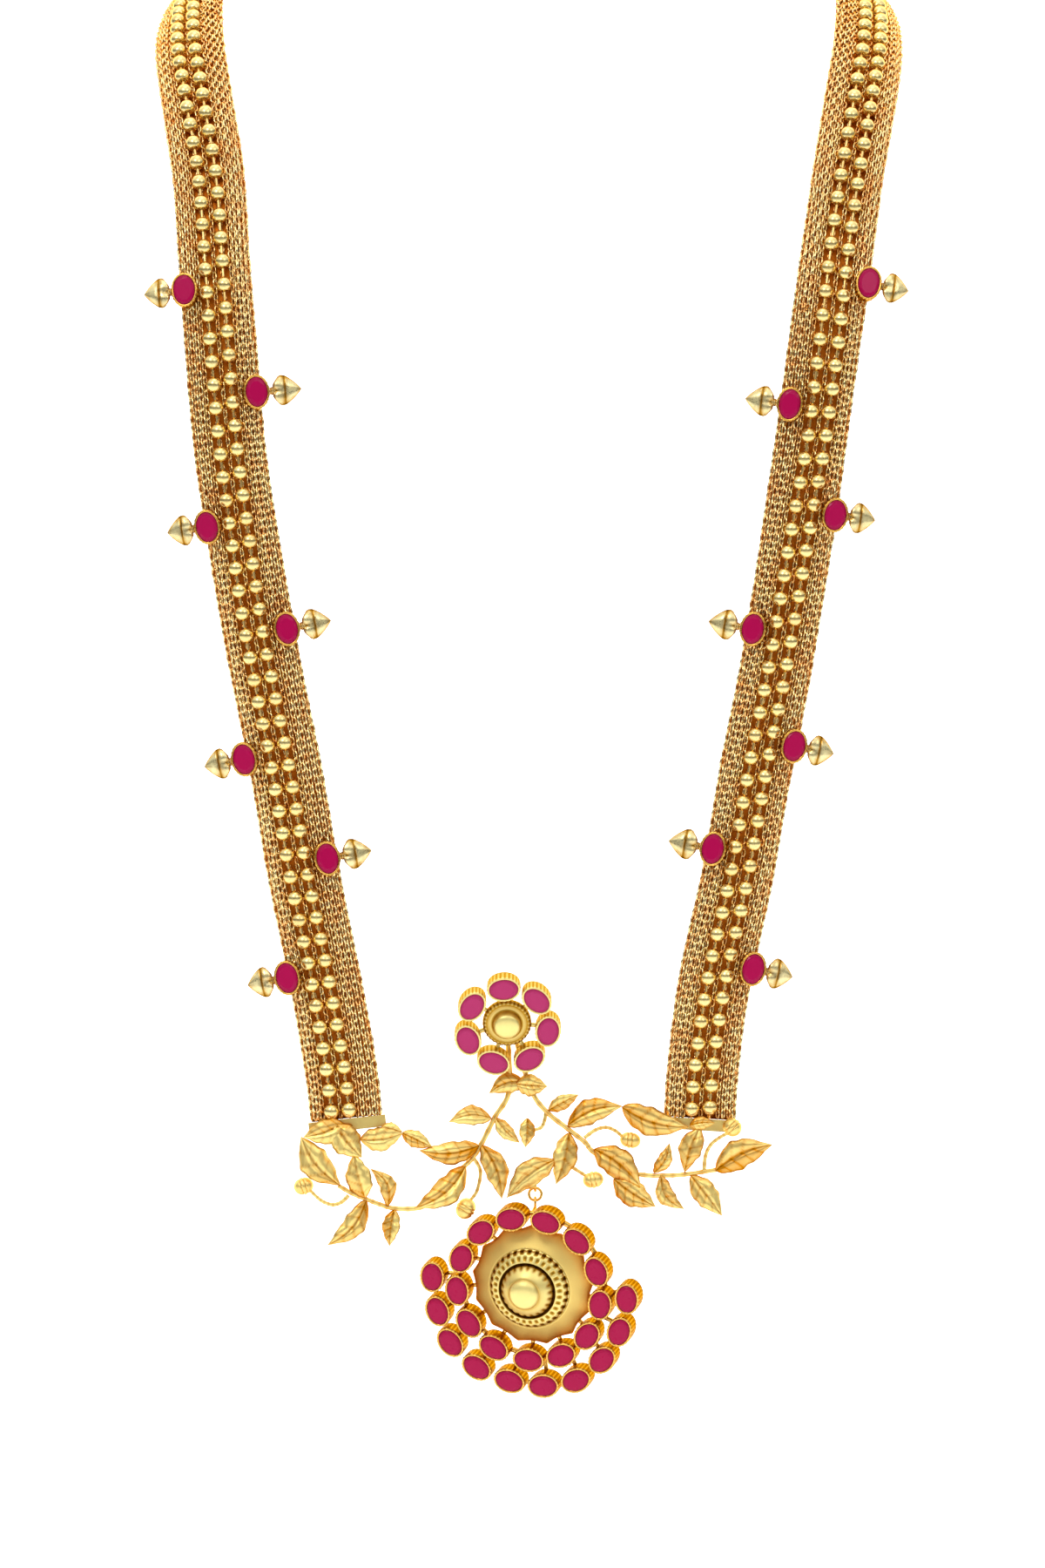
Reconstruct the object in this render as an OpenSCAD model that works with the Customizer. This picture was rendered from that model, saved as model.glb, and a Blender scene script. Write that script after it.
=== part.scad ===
/* [Strap] */
// Width of each mesh strap
strap_w = 14.2; // [13.8:0.1:14.6]
// Depth of the mesh behind the strap's centre surface
strap_back = 1.6; // [1.2:0.1:2.2]
// Height of the chain lobes beside the beads
lobe_h = 1.3; // [0.9:0.1:1.5]
// Depth of the channel that the beads lie in
channel_d = 0.55; // [0.5:0.05:0.9]
// Rings of points along each swept strap
strap_rings = 50; // [30:1:60]

/* [Beads] */
// Diameter of the ball beads
bead_d = 3; // [2.8:0.05:3.05]
// Beads drilled on each front string
bead_count = 43; // [20:1:43]
// Height of the bead centres over the strap's centre surface
bead_lift = 1.15; // [1.1:0.05:1.3]
// Diameter of the hole through a bead
bead_bore = 1.15; // [1:0.05:1.2]
// Diameter of the wire through the beads
wire_d = 0.7; // [0.5:0.05:0.75]
// Diameter of the string behind the neck, where the beads close up
back_string_d = 2.7; // [2.4:0.1:2.8]

/* [Stones] */
// Length and width of the rubies along the straps
side_stone = [5.8, 4.2]; // [3:0.1:7]
// Length and width of the flower's rubies
flower_stone = [5.6, 4.1]; // [3:0.1:6]
// Length and width of the pendant's rubies
pendant_stone = [5.4, 4]; // [3:0.1:6]
// Wall of the collets round the stones
collet_wall = 0.5; // [0.35:0.05:0.55]
// Height of the collets along the straps
side_collet_h = 2.2; // [1.8:0.1:2.6]
// Height of the flower's collets
flower_collet_h = 3.2; // [2.6:0.1:3.6]
// Height of the pendant's collets
pendant_collet_h = 3.6; // [3:0.1:4]
// Lean of the side collets away from the strap
side_lean = 10; // [0:1:14]

/* [Flower] */
// Radius of the round boss in the flower
boss_r = 4.7; // [4:0.1:4.9]
// Radius of the ball that tops the boss
boss_ball_r = 2.6; // [2:0.1:3]
// Lean of the flower's face towards the ground
flower_lean = 21; // [10:1:24]

/* [Spray] */
// Thickness of the leaves at the midrib
leaf_t = 0.7; // [0.5:0.05:0.9]
// Diameter of the stems
stem_d = 0.95; // [0.8:0.05:1.2]
// Diameter of the bud stalks
stalk_d = 0.7; // [0.6:0.05:0.9]

/* [Pendant] */
// Radius of the domed disc
dome_r = 11.3; // [10:0.1:11.4]
// Height of the disc's centre over its rim
dome_h = 8; // [7:0.1:8.4]
// Radius of the ring of rubies
ring_r = 14.3; // [14.1:0.1:14.5]
// Lean of the pendant's face towards the ground
pendant_lean = 16.5; // [0:0.5:18]
// Turn of the pendant's face to the viewer's left
pendant_turn = 16.5; // [0:0.5:18]

/* [Links] */
// Radius of the jump ring to the middle of its wire
jump_r = 1.2; // [1.15:0.05:1.4]
// Wire radius of the jump ring and of the loops that it links
link_wire_r = 0.26; // [0.22:0.01:0.28]
// Radius of the loops above and below the jump ring
bail_r = 0.95; // [0.9:0.05:1.1]
// Running clearance between linked wires
link_gap = 0.04; // [0.02:0.01:0.06]

/* [Clasp] */
// Radius of each bow of the hook
hook_r = 2.8; // [2.6:0.1:3.2]
// Wire radius of the hook
hook_wire_r = 0.7; // [0.6:0.05:0.75]
// Radius of the loops on the end caps
cap_loop_r = 2.1; // [2:0.1:2.3]
// Wire radius of those loops
cap_wire_r = 0.55; // [0.5:0.05:0.6]
// Width of an end cap where it meets the mesh
cap_w = 14.8; // [14.4:0.1:15.2]
// Thickness of the end caps
cap_t = 3.4; // [3:0.1:3.8]

/* [Hidden] */
$fn = 48;
seat = 0.1;
left = -1;
right = 1;

// The strap's line from the nape to its lower end, in round millimetres.
// Columns: x of the left strap, x of the right strap, y, z, then the way the face looks.
// Both x columns and the face's x are measured away from the middle.
ROUTE = [
    [0, 0, 2, 0, 0, 1, 0.25],
    [20, 20, -1.2, 0.3, 0.3, 0.93, 0.3],
    [36, 36, -9, 0.5, 0.55, 0.75, 0.45],
    [49, 49, -22, 0, 0.7, 0.45, 0.6],
    [58, 58, -38, -1.5, 0.7, 0.15, 0.7],
    [63, 63, -56, -4.5, 0.65, -0.05, 0.76],
    [65, 65, -75, -9.5, 0.5, -0.2, 0.8],
    [65.2, 65, -93, -17, 0.32, -0.45, 0.8],
    [63.6, 63.3, -108, -28, 0.15, -0.7, 0.65],
    [61.4, 60.9, -119, -42, 0.04, -0.93, 0.3],
    [60.3, 58.6, -126, -58, 0, -1, 0.12],
    [59, 56.2, -129.5, -75, 0, -1, 0],
    [57.1, 53.4, -131, -95, 0, -1, 0],
    [54.1, 50.5, -131, -115, 0, -1, 0],
    [50.5, 47.2, -131, -135, 0, -1, 0],
    [46.6, 43.3, -131, -155, 0, -1, 0],
    [43.1, 39.8, -131, -175, 0, -1, 0],
    [39.1, 35.5, -131, -195, 0, -1, 0],
    [36.1, 33.2, -131, -212, 0, -1, 0],
    [35, 32.6, -131, -221.5, 0, -1, 0]
];

// Where the mesh starts behind the neck, measured along the line from the nape
mesh_start = 18;
// Bead spacing on the strings: left outer, left inner, right outer, right inner.
// Columns: from the mesh's lower end up to the lowest bead, first spacing, half its growth from bead to bead.
BEAD_ROWS = [[1.6, 4.12, 0.0045], [1.65, 4.08, 0.0065], [2.2, 4.25, 0.0035], [1.8, 4.13, 0.0075]];
// How the strings run across the straps. Columns: distance up from the mesh's lower end, then the place
// of each string in the same order, measured outward for outer strings and inward for inner ones.
STRING_LINES = [
    [0, 2.8, 0.6, 1.8, 1.6], [30, 2.6, 0.65, 2, 1.3], [95, 2.6, 0.7, 1.9, 1.35], [112, 2.15, 1.15, 2.05, 1.3],
    [131, 1.9, 1.35, 2.7, 0.6], [150, 1.9, 1.45, 2.6, 0.9], [168, 1.8, 1.5, 2.1, 1.3], [200, 2, 1.3, 2, 1.3]
];
// The fat string behind the neck stops this far above the highest bead
string_stop = 1.9;
string_taper = 0.25;
// Ring spacing of the fat string and of the wire in the beads
string_step = 7;
wire_step = 8.5;

// Rubies along the straps. Columns: strap, distance up from the mesh's lower end,
// place across the strap with outward positive.
SIDE_STONES = [
    [left, 160.5, 5.8], [left, 116.1, 6.05], [left, 71.3, 7.1], [left, 28.7, 6.7],
    [left, 140.3, -5.8], [left, 94.3, -5], [left, 49.7, -4.6],
    [right, 162.3, 6.5], [right, 118.2, 6.25], [right, 73.6, 5.95], [right, 30.3, 6.4],
    [right, 137.7, -4.65], [right, 94.2, -5.3], [right, 51.4, -5.25]
];

// The small drop at each of them. Columns: distance out from the stone's middle,
// half width, height of its ridge over its edge.
DROP = [
    [2.3, 1, 0.5], [3.1, 1.15, 0.7], [3.6, 2.3, 0.9], [4.3, 2.9, 0.9],
    [5.4, 2.5, 0.9], [6.9, 1.45, 0.7], [8.8, 0.15, 0.3]
];
drop_t = 0.6;
// Drops on the outer edges hang a little shorter
outer_drop_share = 0.9;

// Petal stones round the flower's boss. Columns: angle, radius.
PETALS = [[94.6, 7.8], [44, 7.9], [-6.4, 7.9], [-57, 7.9], [-109.3, 7.8], [-160, 7.95], [147.6, 7.9]];
flower_at = [-4.3, -137, -202.7];
petal_base_t = 0.8;
spoke_d = 0.9;

// Depth of the spray's stems in front of the neck
spray_y = -132.4;

// Leaves. Columns: base x, base z, tip x, tip z, width, sideways bend of the midrib,
// forward bow, roll about the midrib, forward set of the base, and own lead where it differs.
LEFT_LEAVES = [
    [-7.3, -221.4, -15.4, -222.1, 3.9, -0.95, 0.4, 10, 0.1],
    [-6.5, -221.4, -1.9, -226.1, 2.9, -0.35, 0.4, -12, 0],
    [-9.6, -226.7, -21.1, -227.6, 4.6, 1, 0.7, 14, 0.1],
    [-24.4, -224.2, -18.6, -226.9, 3.3, 0, 0.5, 0, 0.1],
    [-32.4, -225.5, -24.2, -224.3, 4.8, -0.5, 0.5, 8, 0.2],
    [-28.4, -223.2, -24.3, -224, 2.6, 0.1, 0.3, -14, 0.2],
    [-35.6, -222.4, -43.2, -225, 5, 0.4, 0.4, 6, 0.9],
    [-36.2, -234.3, -43.7, -225, 6, 1.1, 0.8, 10, 0.3, 1.15],
    [-37.2, -222.4, -32.1, -228.9, 5.9, -0.4, 0.5, -8, 0.9],
    [-31.5, -236.7, -33.6, -228.1, 5.1, 0.25, 0.8, -10, 0.4],
    [-27, -238.2, -30.4, -231.1, 3.4, -1.6, 0.6, 8, 0.2],
    [-31.2, -237.1, -38.6, -245.7, 4.4, 1.3, 0.6, -10, 0.1],
    [-25.8, -238.9, -26.8, -245.9, 3.5, -0.25, 0.4, 12, 0.1],
    [-12.2, -230.6, -21.9, -238.6, 5.3, 1.4, 0.9, 8, 0.1],
    [-9.1, -226.6, -5.3, -236.8, 4.7, 1, 0.7, -10, 0.2],
    [-1, -214.5, -7.7, -216.6, 4.1, -0.9, 0.4, 0, 0.5, 0.75],
    [-2.6, -214.8, 3.4, -215.3, 4.3, -0.05, 0.4, 0, 1]
];
RIGHT_LEAVES = [
    [-0.4, -221.4, -0.8, -227, 3.1, 0.15, 0.3, 0, 0],
    [3.6, -219.9, 9.4, -216.9, 3, 0.1, 0.4, 10, 0],
    [7.3, -222.8, 17.7, -219.1, 4.9, 1.15, 0.7, -8, 0.1],
    [17.7, -219.3, 30.4, -223.1, 5.5, -1.1, 0.7, 8, 0.3, 0.8],
    [7.6, -224.2, 5.1, -234, 4.8, 0.4, 0.6, 8, 0.1],
    [4.8, -229.4, -4.3, -236.6, 5.2, -0.95, 0.5, -8, 0.5],
    [12.4, -227.3, 21.3, -234.5, 5.9, 0.8, 0.8, 8, 0.3],
    [16.1, -233, 24.1, -238.3, 5.2, -0.35, 0.5, -8, 0.1],
    [23.8, -231.9, 26.8, -226.2, 2.9, -0.7, 0.4, 8, 0],
    [29.7, -231.8, 32.8, -222.9, 4.7, 0.5, 0.6, -6, 0.2, 1.2],
    [35.6, -231.4, 46.4, -226.5, 5.8, 1, 0.7, 8, 0.1],
    [30.9, -232.4, 36.8, -240, 4.8, 0.05, 0.6, -8, 0.1],
    [25.1, -232.3, 29.6, -238.8, 3.6, -1.45, 0.5, 8, 0.1],
    [30.6, -222.8, 35.4, -222.3, 2.6, 0.3, 0.2, 0, 0.8]
];
// Where the leaves bulge between edge and midrib, as a share of the half width
leaf_bulge = 0.16;
// A leaf is widest near its base below 1 and near its tip above it
leaf_lead = 0.85;
leaf_stations = 8;

// Stems and stalks: a diameter, then points x, z and any forward set.
LEFT_STEMS = [
    [stem_d, [[-4.6, -205.4, 2.8], [-4, -208.4, 1.2], [-4, -216.6], [-6.6, -221.2], [-9.2, -226.4],
        [-11, -229.2], [-12.7, -230.9], [-17, -236], [-20.8, -238.5], [-25.7, -238.7], [-28.7, -237.9],
        [-31.3, -236.9], [-34, -235.8], [-36.6, -234.3]]],
    [stalk_d, [[-10.8, -228.9], [-9.4, -231.5], [-10, -235.2], [-11.2, -237]]],
    [stalk_d, [[-34.6, -236.2], [-36, -237.5], [-37.6, -238], [-39.3, -237.5], [-40.6, -236.6],
        [-42, -235.2]]]
];
RIGHT_STEMS = [
    [stem_d, [[-2.6, -205.4, 2.8], [-2, -208.4, 1.2], [0.5, -216.4], [3.5, -220.4], [7.4, -223.5],
        [10.7, -226.1], [12, -227.7], [17, -231.3], [22, -232.3], [25.5, -232.4], [29.7, -232.2],
        [35.8, -231.3]]],
    [stalk_d, [[3.2, -219.9], [2.9, -221.8], [2.1, -223.3], [-0.2, -223.8]]],
    [stalk_d, [[10.5, -225.2], [12.6, -223.7], [14.6, -223.2], [16.4, -223.8], [17.8, -225]]],
    [stalk_d, [[5.8, -229.4], [8.8, -231.2], [11, -232.6]]],
    [stalk_d, [[33.4, -231.6], [33.7, -228.6, 0.2], [34.7, -226.5, 0.5], [36.4, -225.1, 0.8],
        [37.9, -224.3, 1]]]
];
// Buds. Columns: x, z, length, width, angle of the long axis, forward set.
LEFT_BUDS = [[-43.2, -234.4, 3.8, 3.3, 20, 0.5], [-12.2, -238.7, 4.2, 3.7, 60, 0.5]];
RIGHT_BUDS = [[19.3, -225.6, 4, 3.1, -10, 0.5], [12.2, -233.2, 4, 3.2, 10, 0.5],
    [38.8, -223.1, 3.7, 3.5, -45, 1.5]];

// Jump ring under the middle leaf, and the pendant that it carries
jump_at = [1.1, -131.2, -236];
upper_wire_z = jump_at[2] + jump_r - 2 * link_wire_r - link_gap;
lower_wire_z = jump_at[2] - jump_r + 2 * link_wire_r + link_gap;
pendant_at = [0.75, -130.4, -253.2];
// The stalk that joins the pendant's loop to its ring of collets: diameter, and way from the loop's foot
bail_stalk_d = 0.8;
bail_stalk_way = [-0.4, -3.2, -1];
// Angles of the ring stones round the pendant
RING_ANGLES = [99.5, 71.5, 43, 15, -12, -40.5, -68, -95, -124, -151, -178.5, 154.5, 127];
// Crescent stones below them. Columns: angle, radius.
CRESCENT = [[173, 19.2], [193.8, 19.1], [213.4, 19.8], [233.5, 19.7], [253.7, 19.3],
    [273.8, 19.5], [293.4, 19.9], [313.7, 19.5], [334.2, 19.3], [354.9, 19.5]];
back_plate_t = 0.6;
rim_wire_r = 0.55;

function unit(v) = v / norm(v);

// Point at share t of the smooth curve through b and c, with a and d beyond them
function smooth(a, b, c, d, t) =
    0.5 * (2 * b + (c - a) * t + (2 * a - 5 * b + 4 * c - d) * t * t + (3 * b - 3 * c + d - a) * t * t * t);

function route_row(side, i) =
    let (r = ROUTE[max(0, min(len(ROUTE) - 1, i))])
    [side * (side < 0 ? r[0] : r[1]), r[2], r[3], side * r[4], r[5], r[6]];

function route_at(side, u) =
    let (i = min(floor(u), len(ROUTE) - 2))
    smooth(route_row(side, i - 1), route_row(side, i), route_row(side, i + 1), route_row(side, i + 2), u - i);

function xyz(row) = [row[0], row[1], row[2]];

// Length along the line against place in the route
arc_steps = 8;
function arc_points(side) =
    [for (k = [0 : arc_steps * (len(ROUTE) - 1)]) xyz(route_at(side, k / arc_steps))];
function arc_table(side) =
    let (p = arc_points(side), last = len(p) - 1)
    [for (k = 0, s = 0; k <= last; s = s + norm(p[min(k + 1, last)] - p[k]), k = k + 1) [s, k / arc_steps]];
LEFT_ARC = arc_table(left);
RIGHT_ARC = arc_table(right);
function arc(side) = side < 0 ? LEFT_ARC : RIGHT_ARC;
function strap_end(side) = arc(side)[len(arc(side)) - 1][0];

// Place, direction and face of the strap at a length s from the nape
function strap_frame(side, s) =
    let (
        u = lookup(s, arc(side)),
        row = route_at(side, u),
        ahead = xyz(route_at(side, min(u + 0.02, len(ROUTE) - 1))),
        behind = xyz(route_at(side, max(u - 0.02, 0))),
        t = unit(ahead - behind),
        face = [row[3], row[4], row[5]],
        n = unit(face - t * (face * t))
    )
    [xyz(row), t, n];

// A point across the strap, with outward and forward distances
function strap_point(side, s, out, up) =
    let (f = strap_frame(side, s)) f[0] + cross(f[2], f[1]) * side * out + f[2] * up;

// Puts children on the strap: x to the right, y forward, z along it
module on_strap(side, s, out, up) {
    f = strap_frame(side, s);
    x = cross(f[2], f[1]);
    p = strap_point(side, s, out, up);
    multmatrix([
        [x[0], f[2][0], f[1][0], p[0]],
        [x[1], f[2][1], f[1][1], p[1]],
        [x[2], f[2][2], f[1][2], p[2]],
        [0, 0, 0, 1]
    ])
        children();
}

function reversed(list) = [for (k = [len(list) - 1 : -1 : 0]) list[k]];

// Skin of triangles between rings of n points. The caps are faces of the first ring, repeated on the last.
function skin(rings, n, turned, caps = []) =
    let (
        walls = [for (r = [0 : rings - 2], i = [0 : n - 1])
            let (j = (i + 1) % n, a = r * n, b = a + n)
            each [[a + i, b + i, b + j], [a + i, b + j, a + j]]],
        starts = len(caps) > 0 ? caps : [[for (i = [0 : n - 1]) i]],
        ends = [for (f = starts) reversed([for (i = f) (rings - 1) * n + i])]
    )
    [for (f = concat(walls, starts, ends)) turned ? reversed(f) : f];

// The mesh strap
edge = strap_w / 2;
channel_margin = bead_d / 2 + 0.15;
function strap_section(side, s) =
    let (
        outer = string_line(side < 0 ? 0 : 2, strap_end(side) - s) + channel_margin,
        inner = string_line(side < 0 ? 1 : 3, strap_end(side) - s) + channel_margin
    )
    [
        [-edge, 0.6], [-edge, -0.8], [-edge + 0.7, -strap_back], [edge - 0.7, -strap_back], [edge, -0.8],
        [edge, 0.6], [edge - 0.8, lobe_h], [outer + 0.5, lobe_h], [outer, -channel_d],
        [-inner, -channel_d], [-inner - 0.5, lobe_h], [-edge + 0.8, lobe_h]
    ];
// The section's cap in three parts without hollows
STRAP_CAPS = [[2, 3, 8, 9], [3, 4, 5, 6, 7, 8], [9, 10, 11, 0, 1, 2]];

module mesh_strap(side) {
    span = strap_end(side) - mesh_start;
    points = [for (r = [0 : strap_rings - 1])
        let (s = mesh_start + span * r / (strap_rings - 1))
        for (q = strap_section(side, s)) strap_point(side, s, q[0], q[1])];
    color("goldenrod")
        polyhedron(points, skin(strap_rings, len(strap_section(side, span)), side < 0, STRAP_CAPS));
}
module left_mesh_strap() { mesh_strap(left); }
module right_mesh_strap() { mesh_strap(right); }

// Drilled ball beads and the wire through them
function string_side(k) = k < 2 ? left : right;
function string_line(k, up) = lookup(up, [for (row = STRING_LINES) [row[0], row[k + 1]]]);
function string_out(k, s) = (k % 2 == 0 ? 1 : -1) * string_line(k, strap_end(string_side(k)) - s);
function bead_s(k, i) = strap_end(string_side(k)) - BEAD_ROWS[k] * [1, i, i * i];

module bead_string(k) {
    color("gold")
        for (i = [0 : bead_count - 1])
            on_strap(string_side(k), bead_s(k, i), string_out(k, bead_s(k, i)), bead_lift)
                difference() {
                    sphere(d = bead_d);
                    cylinder(d = bead_bore, h = bead_d + 1, center = true);
                }
}

module bead_wire(k) {
    side = string_side(k);
    sides = 8;
    top = bead_s(k, bead_count - 1) - string_stop;
    low = strap_end(side) - 0.1;
    start = mesh_start + 0.1;
    fat_step = (top - start) / ceil((top - start) / string_step);
    thin_step = (low - top) / ceil((low - top) / wire_step);
    fat = [for (s = [start : fat_step : top + 0.01]) [s, back_string_d / 2]];
    thin = [for (s = [top + string_taper : thin_step : low - 3]) [s, wire_d / 2]];
    rings = concat(fat, thin, [[low, wire_d / 2]]);
    points = [for (g = rings, i = [0 : sides - 1])
        strap_point(side, g[0], string_out(k, g[0]) + g[1] * cos(360 * i / sides),
            bead_lift + g[1] * sin(360 * i / sides))];
    color("darkgoldenrod")
        polyhedron(points, skin(len(rings), sides, side < 0));
}
module left_outer_beads() { bead_string(0); }
module left_inner_beads() { bead_string(1); }
module right_outer_beads() { bead_string(2); }
module right_inner_beads() { bead_string(3); }
module left_outer_wire() { bead_wire(0); }
module left_inner_wire() { bead_wire(1); }
module right_outer_wire() { bead_wire(2); }
module right_inner_wire() { bead_wire(3); }

// A wire ring that lies flat about its centre
module wire_ring(ring_radius, wire_radius) {
    rotate_extrude()
        translate([ring_radius, 0])
            circle(r = wire_radius);
}

// Tapered cap behind the neck with its loop
cap_mid = 13.3;
module end_cap(side) {
    narrow = cap_mid - mesh_start + seat;
    wide = mesh_start - 5 * seat - cap_mid;
    color("gold")
        union() {
            on_strap(side, cap_mid, 0, -0.15)
                rotate([90, 0, 0])
                    linear_extrude(height = cap_t, center = true)
                        polygon([[-2.2, narrow], [2.2, narrow], [cap_w / 2, wide - 2.4], [cap_w / 2, wide],
                            [-cap_w / 2, wide], [-cap_w / 2, wide - 2.4]]);
            translate([side * (2 * hook_r - hook_wire_r - cap_wire_r - seat + cap_loop_r), ROUTE[0][2], 0])
                wire_ring(cap_loop_r, cap_wire_r);
        }
}
module left_end_cap() { end_cap(left); }
module right_end_cap() { end_cap(right); }

// One open bow of the hook, from the middle round to its free end
bow_sweep = 285;
module hook_bow() {
    translate([hook_r, 0, 0]) {
        rotate([0, 0, 180])
            rotate_extrude(angle = bow_sweep)
                translate([hook_r, 0])
                    circle(r = hook_wire_r);
        translate([hook_r * cos(180 + bow_sweep), hook_r * sin(180 + bow_sweep), 0])
            sphere(r = hook_wire_r);
    }
}
module clasp_hook() {
    color("gold")
        translate([0, ROUTE[0][2], 0])
            rotate([90, 0, 0])
                union() {
                    hook_bow();
                    rotate([0, 0, 180])
                        hook_bow();
                }
}

// Plate that gathers the chains at the lower end of a strap
plate_h = 2.2;
plate_t = 2.8;
module end_plate(side) {
    color("gold")
        on_strap(side, strap_end(side) - 0.001, 0, -0.45)
            translate([-cap_w / 2, -plate_t / 2, seat])
                cube([cap_w, plate_t, plate_h]);
}
module left_end_plate() { end_plate(left); }
module right_end_plate() { end_plate(right); }

// Oval outline with its long way along y
oval_sides = 16;
module oval(stone, grow) {
    polygon([for (i = [0 : oval_sides - 1])
        let (a = 360 * i / oval_sides)
        [(stone[1] / 2 + grow) * cos(a), (stone[0] / 2 + grow) * sin(a)]]);
}

// Oval collet standing on z = 0, open at the top for its stone
pocket_gap = 0.1;
pocket_d = 1.5;
module collet(stone, h) {
    difference() {
        linear_extrude(height = h)
            oval(stone, collet_wall);
        translate([0, 0, h - pocket_d])
            linear_extrude(height = pocket_d + 1)
                oval(stone, pocket_gap);
    }
}

// Cut stone with a flat table and ten crown facets.
// Columns: share of the outline, height over the collet's rim.
stone_sides = 10;
CUT = [[0.7, 0.1 - pocket_d], [1, -0.15], [0.62, 0.6]];
module cut_stone(stone, h) {
    points = [for (c = CUT, i = [0 : stone_sides - 1])
        let (a = 360 * i / stone_sides)
        [c[0] * stone[1] / 2 * cos(a), c[0] * stone[0] / 2 * sin(a), h + c[1]]];
    polyhedron(points, skin(len(CUT), stone_sides, false));
}

// Leaf drop that points along x, folded across near its base
module side_drop(share) {
    points = [for (d = DROP)
        let (x = share * d[0])
        each [[x, 0, -drop_t / 2], [x, d[1], 0], [x, 0, d[2]], [x, -d[1], 0]]];
    polyhedron(points, skin(len(DROP), 4, false));
}

// Puts children on a side collet's seat: y along the strap, z up from it
seat_gap = 0.35;
module at_side_stone(k) {
    row = SIDE_STONES[k];
    side = row[0];
    away = side * sign(row[2]);
    on_strap(side, strap_end(side) - row[1], row[2], lobe_h + seat_gap)
        rotate([0, 0, -away * side_lean])
            rotate([-90, 0, 0])
                rotate([0, 0, away > 0 ? 0 : 180])
                    children();
}
module side_setting(k) {
    color("gold")
        at_side_stone(k)
            union() {
                collet(side_stone, side_collet_h);
                translate([0, 0, 1.2])
                    side_drop(SIDE_STONES[k][2] > 0 ? outer_drop_share : 1);
            }
}
module side_ruby(k) {
    color("crimson")
        at_side_stone(k)
            cut_stone(side_stone, side_collet_h);
}

// Flower of seven collets round a boss: x right, y up, z forward
module at_flower() {
    translate(flower_at)
        rotate([90 + flower_lean, 0, 0])
            children();
}
module at_petal(k) {
    rotate([0, 0, PETALS[k][0]])
        translate([PETALS[k][1], 0, 0])
            children();
}
module flower_setting() {
    color("gold")
        at_flower()
            union() {
                cylinder(r = boss_r, h = 1.5);
                cylinder(r = boss_r - 0.7, h = 2.1);
                translate([0, 0, 1.6])
                    sphere(r = boss_ball_r);
                for (k = [0 : len(PETALS) - 1]) {
                    at_petal(k)
                        collet(flower_stone, flower_collet_h);
                    rotate([0, 0, PETALS[k][0]])
                        translate([boss_r - 0.5, 0, petal_base_t / 2 + 0.1])
                            rotate([0, 90, 0])
                                cylinder(d = spoke_d, h = PETALS[k][1] - boss_r - 1);
                }
            }
}
module flower_ruby(k) {
    color("crimson")
        at_flower()
            at_petal(k)
                cut_stone(flower_stone, flower_collet_h);
}

// One leaf along its midrib, as a closed skin of eight points round each station
module leaf(row) {
    base = [row[0], spray_y - row[8], row[1]];
    along = [row[2] - row[0], 0, row[3] - row[1]];
    a = unit(along);
    forward = [0, -1, 0];
    c = cross(forward, a);
    across = c * cos(row[7]) + forward * sin(row[7]);
    lead = len(row) > 9 ? row[9] : leaf_lead;
    points = [for (k = [0 : leaf_stations - 1])
        let (
            s = k / (leaf_stations - 1),
            w = row[4] / 2 * max(0.12, pow(sin(180 * pow(s, lead)), 0.8)),
            mid = base + along * s + c * (row[5] * sin(180 * s)) + forward * (row[6] * sin(150 * s)),
            bulge = leaf_bulge * w,
            thin = 0.3 * leaf_t
        )
        each [
            mid + across * w + forward * thin, mid + across * w / 2 + forward * (leaf_t / 2 + bulge),
            mid + forward * leaf_t / 2, mid - across * w / 2 + forward * (leaf_t / 2 + bulge),
            mid - across * w + forward * thin, mid - across * w - forward * thin,
            mid - forward * leaf_t / 2, mid + across * w - forward * thin
        ]];
    polyhedron(points, skin(leaf_stations, 8, false));
}

// Stem or stalk: round segments hulled from joint to joint
module stem(row) {
    for (i = [0 : len(row[1]) - 2])
        hull()
            for (p = [row[1][i], row[1][i + 1]])
                translate([p[0], spray_y - (len(p) > 2 ? p[2] : 0), p[1]])
                    sphere(d = row[0], $fn = 6);
}
module bud(row) {
    translate([row[0], spray_y - row[5], row[1]])
        rotate([90, 0, 0])
            rotate([0, 0, row[4]])
                scale([row[2], row[3], row[3]] / 2)
                    sphere(r = 1, $fn = 10);
}
module branch(leaves, stems, buds) {
    color("gold")
        union() {
            for (row = leaves)
                leaf(row);
            for (row = stems)
                stem(row);
            for (row = buds)
                bud(row);
        }
}
module left_branch() { branch(LEFT_LEAVES, LEFT_STEMS, LEFT_BUDS); }
module right_branch() { branch(RIGHT_LEAVES, RIGHT_STEMS, RIGHT_BUDS); }

// Loop behind the middle leaf that the jump ring hangs on
module spray_loop() {
    color("gold")
        translate([jump_at[0], jump_at[1], upper_wire_z + bail_r])
            rotate([0, 90, 0])
                wire_ring(bail_r, link_wire_r);
}
module jump_ring() {
    color("gold")
        translate(jump_at)
            rotate([90, 0, 0])
                wire_ring(jump_r, link_wire_r);
}

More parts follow.
